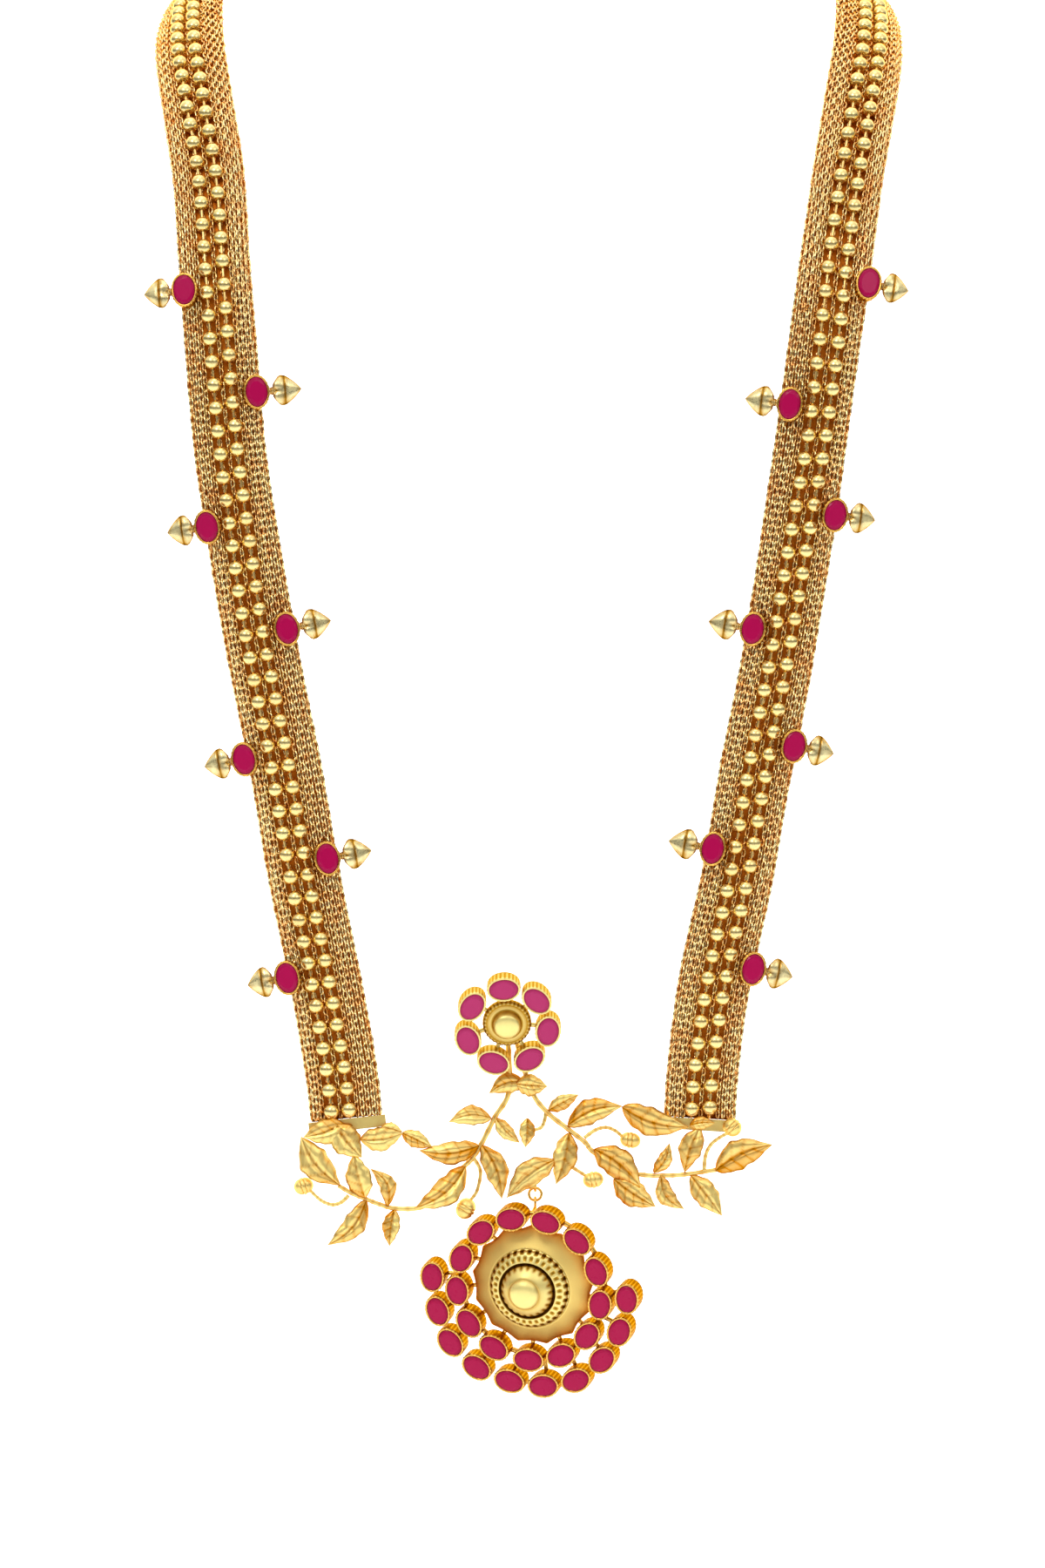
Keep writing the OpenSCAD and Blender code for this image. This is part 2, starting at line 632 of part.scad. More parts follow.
// Pendant: x right, y up, z forward
module at_pendant() {
    translate(pendant_at)
        rotate([90 + pendant_lean, 0, -pendant_turn])
            children();
}
module at_ring_stone(k) {
    rotate([0, 0, RING_ANGLES[k]])
        translate([ring_r, 0, 0])
            children();
}
module at_crescent_stone(k) {
    rotate([0, 0, CRESCENT[k][0]])
        translate([CRESCENT[k][1], 0, 0])
            children();
}
module pendant_setting() {
    color("gold")
        union() {
            at_pendant() {
                translate([0, 0, -back_plate_t])
                    cylinder(r = dome_r, h = back_plate_t);
                wire_ring(ring_r, rim_wire_r);
                for (k = [0 : len(RING_ANGLES) - 1]) {
                    at_ring_stone(k)
                        collet(pendant_stone, pendant_collet_h);
                    rotate([0, 0, RING_ANGLES[k]]) {
                        translate([dome_r - 1, -0.5, -back_plate_t])
                            cube([2, 1, back_plate_t]);
                        translate([dome_r + 2 * seat, -0.5, -back_plate_t])
                            cube([0.8, 1, back_plate_t + 0.6]);
                    }
                }
                for (k = [0 : len(CRESCENT) - 1]) {
                    at_crescent_stone(k)
                        collet(pendant_stone, pendant_collet_h);
                    rotate([0, 0, CRESCENT[k][0]])
                        translate([ring_r, -0.5, -0.2])
                            cube([CRESCENT[k][1] - ring_r - 1, 1, 0.9]);
                }
            }
            translate([jump_at[0], jump_at[1], lower_wire_z - bail_r]) {
                rotate([0, 90, 0])
                    wire_ring(bail_r, link_wire_r);
                hull()
                    for (share = [0, 1])
                        translate([0, 0, -bail_r] + share * bail_stalk_way)
                            sphere(d = bail_stalk_d, $fn = 16);
            }
        }
}

// Domed disc: a cone with two steps and a low crown, which is the top of a ball
crown_ball_r = 3.7;
module pendant_dome() {
    color("gold")
        at_pendant()
            translate([0, 0, seat / 2])
                union() {
                    rotate_extrude()
                        polygon([[0, 0], [dome_r, 0], [dome_r, 0.5], [dome_r - 0.9, 1.1], [dome_r - 2.2, 1.9],
                            [7.8, 2.8], [7.5, 3.4], [6.6, 4.1], [5.8, 4.6], [5.4, 4.5], [5.3, 4.1], [5, 4.2],
                            [4.8, 5.1], [4.1, 6], [3.2, 6.7], [0, 6.7]]);
                    translate([0, 0, dome_h - crown_ball_r])
                        sphere(r = crown_ball_r);
                }
}
module pendant_ring_rubies() {
    color("crimson")
        at_pendant()
            for (k = [0 : len(RING_ANGLES) - 1])
                at_ring_stone(k)
                    cut_stone(pendant_stone, pendant_collet_h);
}
module pendant_crescent_rubies() {
    color("crimson")
        at_pendant()
            for (k = [0 : len(CRESCENT) - 1])
                at_crescent_stone(k)
                    cut_stone(pendant_stone, pendant_collet_h);
}

function numbered(name, n) = [for (k = [1 : n]) str(name, "_", k)];
SIDE_SETTINGS = numbered("side_setting", len(SIDE_STONES));
SIDE_RUBIES = numbered("side_ruby", len(SIDE_STONES));
FLOWER_RUBIES = numbered("flower_ruby", len(PETALS));

left_mesh_strap();
right_mesh_strap();
left_outer_beads();
left_inner_beads();
right_outer_beads();
right_inner_beads();
left_outer_wire();
left_inner_wire();
right_outer_wire();
right_inner_wire();
left_end_cap();
right_end_cap();
clasp_hook();
left_end_plate();
right_end_plate();
left_branch();
right_branch();
flower_setting();
spray_loop();
jump_ring();
pendant_setting();
pendant_dome();
pendant_ring_rubies();
pendant_crescent_rubies();
for (k = [0 : len(SIDE_STONES) - 1]) {
    side_setting(k);
    side_ruby(k);
}
for (k = [0 : len(PETALS) - 1])
    flower_ruby(k);
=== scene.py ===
import bpy
import numpy as np
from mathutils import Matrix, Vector


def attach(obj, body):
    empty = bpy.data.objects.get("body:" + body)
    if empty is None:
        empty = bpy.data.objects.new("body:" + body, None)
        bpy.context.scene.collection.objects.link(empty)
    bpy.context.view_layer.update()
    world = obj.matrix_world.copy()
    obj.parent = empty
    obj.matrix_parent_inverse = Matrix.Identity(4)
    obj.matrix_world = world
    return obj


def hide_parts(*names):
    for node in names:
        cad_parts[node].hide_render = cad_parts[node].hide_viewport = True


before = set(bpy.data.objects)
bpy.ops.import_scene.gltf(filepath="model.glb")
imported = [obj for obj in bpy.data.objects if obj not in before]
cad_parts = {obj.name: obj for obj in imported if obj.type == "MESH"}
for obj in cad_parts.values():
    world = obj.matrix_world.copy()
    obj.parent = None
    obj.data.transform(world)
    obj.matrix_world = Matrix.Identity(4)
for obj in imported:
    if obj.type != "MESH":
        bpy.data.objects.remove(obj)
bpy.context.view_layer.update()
print("frame loaded:", len(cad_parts), "nodes")

millimetre = 0.001
forward = np.array([0.0, -1.0, 0.0])

cameraView = {
    "centre": (-1.333, -131.0, -157.5),  # what the middle of the picture looks at, mm
    "distance": 9000.0,  # far off, so the view has almost no perspective
    "frameHeight": 300.0,  # six picture points to the millimetre
    "downward": 1.4,  # degrees; it keeps the band behind the neck above the frame
    "sensor": 36.0,
    "clip": (0.05, 60.0),  # metres
}


# A new object in the scene
def addObject(name, data):
    made = bpy.data.objects.new(name, data)
    bpy.context.scene.collection.objects.link(made)
    return made


# Camera set back from the centre by distance x cos tilt and up by distance x sin tilt, with a lens of
# sensor x distance / frame height
def makeCamera(view):
    camera = addObject("camera", bpy.data.cameras.new("camera"))
    camera.data.sensor_width = view["sensor"]
    camera.data.lens = view["sensor"] * view["distance"] / view["frameHeight"]
    camera.data.clip_start, camera.data.clip_end = view["clip"]
    x, y, z = view["centre"]
    downward = np.radians(view["downward"])
    back, above = view["distance"] * np.cos(downward), view["distance"] * np.sin(downward)
    camera.location = (x * millimetre, (y - back) * millimetre, (z + above) * millimetre)
    camera.rotation_euler = (np.pi / 2 - downward, 0, 0)
    bpy.context.scene.camera = camera


makeCamera(cameraView)
print("camera placed")


# Linear colour from an sRGB hex value: c / 12.92 in the dark, ((c + 0.055) / 1.055) to the power 2.4 above
def linear(hexColour):
    c = np.array([int(hexColour[k:k + 2], 16) / 255 for k in (1, 3, 5)])
    c = np.where(c <= 0.04045, c / 12.92, ((c + 0.055) / 1.055) ** 2.4)
    return (*c.tolist(), 1.0)


# Adds a node, gives its properties and inputs their values, and links its inputs to other nodes' outputs
def addNode(tree, kind, inputs=None, links=None, **settings):
    node = tree.nodes.new(kind)
    for key, value in settings.items():
        setattr(node, key, value)
    for key, value in (inputs or {}).items():
        node.inputs[key].default_value = value
    for key, socket in (links or {}).items():
        tree.links.new(socket, node.inputs[key])
    return node


# A metal or stone. Its colour runs from light at 0 to deep at 1 and dark at 2 with the tone kept on each
# vertex plus a cloud of noise; the pieces' tones past 1 paint shade towards dark in grooves, folds and
# hollows. Fine grain spreads the roughness and raises a slight relief. The sizes of grain and blotch are in
# millimetres, and edge is a metal's colour at a grazing look
def makeMaterial(name, light, deep, dark, roughness, grain, grainDepth, blotch, blotchShare, metallic=1.0,
                 ior=1.5, gloss=0.5, roughSpread=0.08, edge="#FFD898"):
    material = bpy.data.materials.new(name)
    material.use_nodes = True
    tree = material.node_tree
    tree.nodes.clear()
    place = addNode(tree, "ShaderNodeTexCoord").outputs["Object"]
    cloud = addNode(tree, "ShaderNodeTexNoise", {"Scale": 1 / (blotch * millimetre), "Detail": 3.0},
                    {"Vector": place}).outputs["Fac"]
    grains = addNode(tree, "ShaderNodeTexNoise", {"Scale": 1 / (grain * millimetre), "Detail": 2.0},
                     {"Vector": place}).outputs["Fac"]
    tone = addNode(tree, "ShaderNodeAttribute", attribute_name="tone").outputs["Fac"]
    centred = addNode(tree, "ShaderNodeMath", {1: 0.5}, {0: cloud}, operation="SUBTRACT").outputs[0]
    share = addNode(tree, "ShaderNodeMath", {1: 2 * blotchShare}, {0: centred, 2: tone},
                    operation="MULTIPLY_ADD").outputs[0]
    # past a tone of 1 the colour runs on to dark: painted shade in grooves and hollows
    over = addNode(tree, "ShaderNodeMath", {1: 1.0}, {0: share}, operation="SUBTRACT",
                   use_clamp=True).outputs[0]
    upper = addNode(tree, "ShaderNodeMix", {6: linear(light), 7: linear(deep)}, {0: share},
                    data_type="RGBA").outputs[2]
    colour = addNode(tree, "ShaderNodeMix", {7: linear(dark)}, {0: over, 6: upper},
                     data_type="RGBA").outputs[2]
    rough = addNode(tree, "ShaderNodeMapRange",
                    {"From Min": 0.3, "From Max": 0.7, "To Min": roughness - roughSpread,
                     "To Max": roughness + roughSpread}, {"Value": grains}).outputs[0]
    bump = addNode(tree, "ShaderNodeBump", {"Strength": 1.0, "Distance": grainDepth * millimetre},
                   {"Height": grains}).outputs["Normal"]
    shader = addNode(tree, "ShaderNodeBsdfPrincipled",
                     {"Metallic": metallic, "IOR": ior, "Specular IOR Level": gloss,
                      "Specular Tint": linear(edge if metallic else "#FFFFFF")},
                     {"Roughness": rough, "Normal": bump, "Base Color": colour})
    addNode(tree, "ShaderNodeOutputMaterial", links={"Surface": shader.outputs["BSDF"]})
    return material


# A cut and polished stone: no metal, the high index of ruby, and a weaker gloss than glass of that index
def stoneMaterial(name, light, deep, roughness):
    return makeMaterial(name, light, deep, "#38000E", roughness, 0.8, 0.001, blotch=2, blotchShare=0.2,
                        metallic=0.0, ior=1.76, gloss=0.08, roughSpread=0.04)


materials = {
    # 22-karat wire drawn and polished: bright ridges; its deep copper brown is a painted reflection of link
    # in link, spread at random from link to link and laid on the low strands as painted shade
    "chain": makeMaterial("polishedGoldWire", "#FFE8A8", "#F49628", "#962E0A", 0.19, 0.3, 0.004,
                          blotch=1.3, blotchShare=0.5, edge="#FFC070"),
    # Painted shade: copper brown gold deep in the weave, standing in for the shadowed inner layers between
    # bright links
    "weave": makeMaterial("paintedShadeWeave", "#D0741E", "#84300C", "#421606", 0.5, 0.35, 0.05,
                          blotch=0.9, blotchShare=0.7),
    # Ball beads stamped from sheet and tumbled bright: mirror-like yellow
    "bead": makeMaterial("tumbledGoldBall", "#FFE9A0", "#E89A2A", "#8A4208", 0.26, 0.5, 0.002,
                         blotch=6, blotchShare=0.2, roughSpread=0.03, edge="#FFB858"),
    # Cast leaves blasted with fine grit: silky yellow, with painted shade in orange at the folds and in brown
    # in the veins
    "leaf": makeMaterial("satinCastGold", "#FFE48C", "#D4860A", "#6A3404", 0.4, 0.22, 0.012,
                         blotch=3, blotchShare=0.45),
    # Collets raised from strip and burnished: peach gold, with a painted highlight on the rim and painted
    # shade in the flutes
    "bezel": makeMaterial("burnishedGoldCollet", "#F4C260", "#A0600E", "#3E1C02", 0.26, 0.3, 0.006,
                          blotch=1.5, blotchShare=0.3),
    # Thin stamped drops with a frosted finish: pale cream gold, with painted shade in brown in the folds
    "drop": makeMaterial("frostedGoldSheet", "#FFF0B4", "#C08C30", "#7A4A10", 0.32, 0.25, 0.012,
                         blotch=1.2, blotchShare=0.6),
    # Spun and brushed dome: even pale satin; the orange at the scalloped edge is a painted reflection, and
    # its grooves and notches darken as painted shade
    "dome": makeMaterial("brushedGoldDome", "#FFE388", "#FFA41A", "#5A3004", 0.56, 0.2, 0.006,
                         blotch=7, blotchShare=0.1),
    # Lightly polished gold of the flower's boss and collets and of the pendant's crown: lemon on the high
    # places as a painted highlight, olive gold in the low ones as painted shade
    "boss": makeMaterial("spunGoldBoss", "#FFEE9A", "#C49430", "#4E2E06", 0.46, 0.2, 0.006,
                         blotch=4, blotchShare=0.1),
    # Polished rubies along the straps: deep crimson
    "sideRuby": stoneMaterial("crimsonRuby", "#B40C50", "#84042C", 0.12),
    # The flower's paler rubies: raspberry pink with a satin table
    "flowerRuby": stoneMaterial("raspberryRuby", "#C03670", "#8A0A40", 0.35),
    # The pendant's rubies: full red crimson
    "pendantRuby": stoneMaterial("redRuby", "#B4124C", "#880430", 0.3),
}
print("materials made:", len(materials))


# Faces of a grid of rows by columns of points, closed round in either way on request
def gridFaces(rows, columns, roundRows=False, roundColumns=False):
    i, j = np.meshgrid(np.arange(rows if roundRows else rows - 1),
                       np.arange(columns if roundColumns else columns - 1), indexing="ij")
    k, m = (i + 1) % rows, (j + 1) % columns
    corners = [i * columns + j, i * columns + m, k * columns + m, k * columns + j]
    return np.stack(corners, axis=-1).reshape(-1, 4)


# Six times the volume under the faces: the sum of v0 . (v1 x v2) over a fan of each face
def signedVolume(points, faces):
    a, b, c = points[faces[:, 0]], points[faces[:, 1]], points[faces[:, 2]]
    total = np.einsum("ij,ij->i", a, np.cross(b, c)).sum()
    if faces.shape[1] == 4:
        total += np.einsum("ij,ij->i", a, np.cross(c, points[faces[:, 3]])).sum()
    return total


# A solid shape from a grid of rings: points (rings, sides, 3), each end closed by a fan to its middle unless
# the last ring joins the first
def ringSolid(grid, tone=0, roundRows=False):
    rings, sides = grid.shape[:2]
    points = grid.reshape(-1, 3)
    faces = [gridFaces(rings, sides, roundRows, True)]
    tones = np.broadcast_to(tone, (rings, sides)).ravel().astype(float)
    if not roundRows:
        here = np.arange(sides)
        after = (here + 1) % sides
        first, last = len(points), len(points) + 1
        base = (rings - 1) * sides
        faces.append(np.stack([after, here, np.full(sides, first)], axis=-1))
        faces.append(np.stack([base + here, base + after, np.full(sides, last)], axis=-1))
        points = np.vstack([points, grid[0].mean(0), grid[-1].mean(0)])
        tones = np.concatenate([tones, [tones[:sides].mean(), tones[-sides:].mean()]])
    if sum(signedVolume(points - points.mean(0), f) for f in faces) < 0:
        faces = [f[:, ::-1] for f in faces]
    return points, faces, tones


# Copies of a shape: each point is origin + x e1 + y e2 + z e3, with a frame and an extra tone for each copy
def copies(shape, origin, e1, e2, e3, tone=0):
    points, faces, tones = shape
    placed = (origin[:, None] + points[None, :, 0, None] * e1[:, None]
              + points[None, :, 1, None] * e2[:, None] + points[None, :, 2, None] * e3[:, None])
    shift = np.arange(len(origin))[:, None, None] * len(points)
    extra = np.broadcast_to(tone, len(origin))
    return (placed.reshape(-1, 3), [(f[None] + shift).reshape(-1, f.shape[1]) for f in faces],
            (tones[None] + extra[:, None]).ravel())


# A mesh object of one material from points in millimetres
def addMesh(name, points, faces, material, smooth):
    mesh = bpy.data.meshes.new(name)
    mesh.from_pydata((points * millimetre).tolist(), [], faces)
    mesh.polygons.foreach_set("use_smooth", np.full(len(mesh.polygons), smooth))
    mesh.materials.append(material)
    return addObject(name, mesh)


# One piece from several shapes, riding on a body in place of CAD nodes
def addPiece(name, shapes, material, body, nodes, flat=False):
    starts = np.cumsum([0] + [len(s[0]) for s in shapes[:-1]])
    points = np.concatenate([s[0] for s in shapes])
    faces = [row for s, start in zip(shapes, starts) for f in s[1] for row in (f + start).tolist()]
    piece = addMesh(name, points, faces, materials[material], not flat)
    piece.data.attributes.new("tone", "FLOAT", "POINT").data.foreach_set(
        "value", np.concatenate([s[2] for s in shapes]).astype(np.float32))
    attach(piece, body)
    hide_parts(*nodes)
    triangles = sum(len(f) * (f.shape[1] - 2) for s in shapes for f in s[1])
    print("piece", name, triangles, "triangles")
    return piece


# Catmull-Rom curve at u: on each stretch between rows a cubic of the four nearest rows
def curveThrough(rows, u):
    last = len(rows) - 1
    i = np.minimum(np.floor(u).astype(int), last - 1)
    t = (u - i)[:, None]
    a, b, c, d = (rows[np.clip(i + k, 0, last)] for k in (-1, 0, 1, 2))
    bend, twist = 2 * a - 5 * b + 4 * c - d, 3 * b - 3 * c + d - a
    return 0.5 * (2 * b + (c - a) * t + bend * t ** 2 + twist * t ** 3)


# A vector divided by its length
def unit(v):
    return v / np.linalg.norm(v, axis=-1, keepdims=True)


strapLine = {
    # x of the left strap, x of the right strap, y, z, then the way the face looks, mm
    "rows": np.array([
        [0, 0, 2, 0, 0, 1, 0.25],
        [20, 20, -1.2, 0.3, 0.3, 0.93, 0.3],
        [36, 36, -9, 0.5, 0.55, 0.75, 0.45],
        [49, 49, -22, 0, 0.7, 0.45, 0.6],
        [58, 58, -38, -1.5, 0.7, 0.15, 0.7],
        [63, 63, -56, -4.5, 0.65, -0.05, 0.76],
        [65, 65, -75, -9.5, 0.5, -0.2, 0.8],
        [65.2, 65, -93, -17, 0.32, -0.45, 0.8],
        [63.6, 63.3, -108, -28, 0.15, -0.7, 0.65],
        [61.4, 60.9, -119, -42, 0.04, -0.93, 0.3],
        [60.3, 58.6, -126, -58, 0, -1, 0.12],
        [59, 56.2, -129.5, -75, 0, -1, 0],
        [57.1, 53.4, -131, -95, 0, -1, 0],
        [54.1, 50.5, -131, -115, 0, -1, 0],
        [50.5, 47.2, -131, -135, 0, -1, 0],
        [46.6, 43.3, -131, -155, 0, -1, 0],
        [43.1, 39.8, -131, -175, 0, -1, 0],
        [39.1, 35.5, -131, -195, 0, -1, 0],
        [36.1, 33.2, -131, -212, 0, -1, 0],
        [35, 32.6, -131, -221.5, 0, -1, 0],
    ]),
    "start": 18.0,  # where the mesh begins behind the neck
    "stepsPerRow": 8,
    "halfStep": 0.02,  # of a row, either way from a place to find the way along
    "sides": {"left": -1, "right": 1},
}


# Place and way of the face along one strap: the curve through its rows, with x mirrored on the left
def routeAt(side, u):
    rows = strapLine["rows"]
    own = rows[:, 0 if side < 0 else 1]
    return curveThrough(np.column_stack([side * own, rows[:, 2:4], side * rows[:, 4], rows[:, 5:]]), u)


# Distance from the nape at even steps of the curve: running sum of the chords
def arcTable(side):
    steps = strapLine["stepsPerRow"]
    u = np.arange(steps * (len(strapLine["rows"]) - 1) + 1) / steps
    points = routeAt(side, u)[:, :3]
    return np.concatenate([[0], np.cumsum(np.linalg.norm(np.diff(points, axis=0), axis=1))]), u


arcs = {side: arcTable(side) for side in (-1, 1)}
strapEnd = {side: arcs[side][0][-1] for side in arcs}


# Place, way along, face and way outward of the strap at distances s: n = face - t (face . t), out = n x t
def strapFrames(side, s):
    u = np.interp(s, *arcs[side])
    row = routeAt(side, u)
    after = np.minimum(u + strapLine["halfStep"], len(strapLine["rows"]) - 1)
    before = np.maximum(u - strapLine["halfStep"], 0)
    t = unit(routeAt(side, after)[:, :3] - routeAt(side, before)[:, :3])
    n = unit(row[:, 3:] - t * np.einsum("ij,ij->i", row[:, 3:], t)[:, None])
    return row[:, :3], t, n, np.cross(n, t) * side


beads = {
    "radius": 1.56,  # of the corners of a facetted ball 3 mm across
    "holeRadius": 0.4,
    "lift": 1.15,
    "threadRadius": 0.28,
    "threadRings": 150,
    "evenAfter": 42,  # past this bead the spacing stays as it is
    "endRoom": 2.2,  # kept free of beads next to the clasp
    "unevenness": 0.04,
    "toneRange": (-0.1, 0.15),
    # name, strap, 1 for inner, lowest bead's distance up from the mesh's end, spacing there, half its growth
    "strings": [["left_outer", -1, 0, 1.6, 4.12, 0.0045], ["left_inner", -1, 1, 1.65, 4.08, 0.0065],
                ["right_outer", 1, 0, 2.2, 4.25, 0.0035], ["right_inner", 1, 1, 1.8, 4.13, 0.0075]],
    # distance up, then the place of each string across the strap
    "lines": np.array([
        [0, 2.8, 0.6, 1.8, 1.6], [30, 2.6, 0.65, 2, 1.3], [95, 2.6, 0.7, 1.9, 1.35],
        [112, 2.15, 1.15, 2.05, 1.3], [131, 1.9, 1.35, 2.7, 0.6], [150, 1.9, 1.45, 2.6, 0.9],
        [168, 1.8, 1.5, 2.1, 1.3], [200, 2, 1.3, 2, 1.3],
    ]),
}


# Place across the strap of its outer string (0) or inner one (1) at distances s, from the lines' table
def stringPlace(side, inner, s):
    lines = beads["lines"]
    column = 1 + inner + (2 if side > 0 else 0)
    return (-1 if inner else 1) * np.interp(strapEnd[side] - s, lines[:, 0], lines[:, column])


chains = {
    "pitch": 1.48,  # from link to link
    "wire": 0.23,  # wire radius
    "halfLength": 0.97,
    "halfWidth": 0.46,
    "segments": 8,
    "wireSides": 4,
    "endGap": 1.1,  # from the middle of the lowest link to the strap's end, times the link's size
    "startGap": 0.8,
    "turn": 45.0,  # degrees from flat, one way and the other in turn
    "turnSpread": 6.0,
    "sway": 0.05,
    "swayLength": 7.0,
    "unevenness": 0.03,
    "toneRange": (-0.3, 0.5),
    "lowStrandShade": 0.3,  # painted shade added to the strands below the middle surface: under the beads and at the back
    # place across the strap as a share of the outer string's place, a share of the inner one's and a distance
    # outward, then the height over the middle surface and the size of the links
    "front": [[0, 0, 6.45, 0.1, 1.1], [0.33, 0, 4.85, 0.65, 1], [0.67, 0, 3.2, 0.72, 1],
              [1, 0, 1.6, 0.4, 0.9], [1, 0, 0, -0.3, 1.1], [0.5, 0.5, 0, 0.15, 0.9], [0, 1, 0, -0.3, 1.1],
              [0, 1, -1.6, 0.4, 0.9], [0, 0.75, -2.8, 0.7, 1], [0, 0.5, -4, 0.78, 1],
              [0, 0.25, -5.25, 0.65, 1], [0, 0, -6.45, 0.1, 1.1]],
    "back": [[0, 0, -6, -0.75, 1],
             *[[0, 0, x, -1.1, 1] for x in (-4.7, -3.4, -2.1, -0.7, 0.7, 2.1, 3.4, 4.7)],
             [0, 0, 6, -0.75, 1]],
    "coreHalfWidth": 6.7,
    "coreFront": -0.45,
    "coreBack": -0.8,
    "coreEnds": (0.2, 0.08),  # how far it stays from the start and reaches past the end
    "coreRings": 90,
    "coreSides": 20,
}


# Angles of n even steps round a circle
def around(n):
    return np.linspace(0, 2 * np.pi, n, endpoint=False)


# Points at angles a on ovals round z, with half axes rx and ry and height z
def ovals(rx, ry, a, z):
    return np.stack([rx * np.cos(a), ry * np.sin(a), z + 0 * a], axis=-1)


# One link: a wire ring carried round an oval, x across, y normal to the link, z along the chain
def linkShape():
    a, b = around(chains["segments"])[:, None], around(chains["wireSides"])[None]
    x, z = chains["halfWidth"] * np.cos(a), chains["halfLength"] * np.sin(a)
    nx, nz = chains["halfLength"] * np.cos(a), chains["halfWidth"] * np.sin(a)
    size = np.sqrt(nx ** 2 + nz ** 2)
    wide, high = chains["wire"] * np.cos(b), chains["wire"] * np.sin(b)
    grid = np.stack([x + wide * nx / size, high + 0 * a, z + wide * nz / size], axis=-1)
    return ringSolid(grid, roundRows=True)


# Strands of links: each link turns a quarter turn from the last, half of one either way from flat
def chainStrands(side, strands, shape, seed):
    random = np.random.default_rng(seed)
    made = []
    for index, (outerShare, innerShare, outward, up, size) in enumerate(strands):
        s = np.arange(strapEnd[side] - chains["endGap"] * size, strapLine["start"] + chains["startGap"],
                      -chains["pitch"] * size)
        p, t, n, out = strapFrames(side, s)
        count = len(s)
        way = np.where((np.arange(count) + index) % 2, chains["turn"], -chains["turn"])
        angle = np.radians(way + random.normal(0, chains["turnSpread"], count))[:, None]
        sway = chains["sway"] * np.sin(s / chains["swayLength"] + random.uniform(0, 6))[:, None]
        across = outerShare * stringPlace(side, 0, s) + innerShare * stringPlace(side, 1, s) + outward
        height = up + random.normal(0, chains["unevenness"], count)[:, None]
        origin = p + out * (across[:, None] + sway) + n * height
        e1 = np.cross(n, t) * np.cos(angle) + n * np.sin(angle)
        # painted shade deepens the strands that lie below the middle surface
        tone = random.uniform(*chains["toneRange"], count) + chains["lowStrandShade"] * (up < 0)
        made.append(copies(shape, origin, size * e1, size * np.cross(t, e1), size * t, tone))
    return made


# Painted shade: a dark flat section carried along the strap in place of the shadowed inner weave, as wide
# as the root of cos a and as high as sin a between its back and its front
def coreBand(side):
    inset, reach = chains["coreEnds"]
    s = np.linspace(strapLine["start"] + inset, strapEnd[side] + reach, chains["coreRings"])
    p, t, n, out = strapFrames(side, s)
    a = around(chains["coreSides"])
    x = chains["coreHalfWidth"] * np.sign(np.cos(a)) * np.abs(np.cos(a)) ** 0.5
    front, back = chains["coreFront"], chains["coreBack"]
    up = (front + back) / 2 + (front - back) / 2 * np.sin(a)
    return ringSolid(p[:, None] + out[:, None] * x[None, :, None] + n[:, None] * up[None, :, None])


for word, side in strapLine["sides"].items():
    node = word + "_mesh_strap"
    for face, seed in (("Front", 11), ("Back", 21)):
        strands = chainStrands(side, chains[face.lower()], linkShape(), seed + side)
        addPiece(word + face + "Chains", strands, "chain", "necklace", [node])
    # the dark core band is painted shade between the front and the back chains
    addPiece(word + "InnerWeaveShade", [coreBand(side)], "weave", "necklace", [node])
print("mesh straps made")


# A drilled ball: a circle's arc turned about z, closed through its hole
def beadShape(sides=12, rows=7):
    tip = np.arcsin(beads["holeRadius"] / beads["radius"])
    a = np.linspace(tip, np.pi - tip, rows)
    r = np.concatenate([beads["radius"] * np.sin(a), [0.9 * beads["holeRadius"]]])
    z = np.concatenate([beads["radius"] * np.cos(a), [0]])
    return ringSolid(ovals(r[:, None], r[:, None], around(sides), z[:, None]), roundRows=True)


# A round tube along points p, its rings spanned by two ways across
def tubeAlong(p, acrossA, acrossB, radius, sides, tone=0):
    b = around(sides)[None, :, None]
    radius = np.broadcast_to(radius, len(p))[:, None, None]
    grid = p[:, None] + radius * (acrossA[:, None] * np.cos(b) + acrossB[:, None] * np.sin(b))
    return ringSolid(grid, np.broadcast_to(tone, len(p))[:, None])


# A string of beads on its thread: distances up of a + b i + c i i for bead i, and evenly after the last of
# these, each set across the strap by the lines' table
def beadString(index, seed):
    name, side, inner, first, spacing, growth = beads["strings"][index]
    random = np.random.default_rng(seed)
    i = np.arange(100)  # more than fit, so that the strap's length ends the string
    last = beads["evenAfter"]
    early = np.minimum(i, last)
    up = first + spacing * early + growth * early ** 2 + (i - early) * (spacing + 2 * growth * last)
    s = strapEnd[side] - up[up < strapEnd[side] - strapLine["start"] - beads["endRoom"]]
    p, t, n, out = strapFrames(side, s)
    across = stringPlace(side, inner, s)[:, None]
    origin = p + out * across + n * (beads["lift"] + random.normal(0, beads["unevenness"], (len(s), 1)))
    balls = copies(beadShape(), origin, np.cross(n, t), n, t, random.uniform(*beads["toneRange"], len(s)))
    s = np.linspace(strapLine["start"] + 0.4, strapEnd[side] - 0.1, beads["threadRings"])
    p, t, n, out = strapFrames(side, s)
    middle = p + out * stringPlace(side, inner, s)[:, None] + n * beads["lift"]
    thread = tubeAlong(middle, np.cross(n, t), n, beads["threadRadius"], 8, 0.3)
    addPiece(name + "_bead_string", [balls, thread], "bead", "necklace",
             [name + "_beads", name + "_wire"])


for index in range(len(beads["strings"])):
    beadString(index, 31 + index)
print("bead strings made")

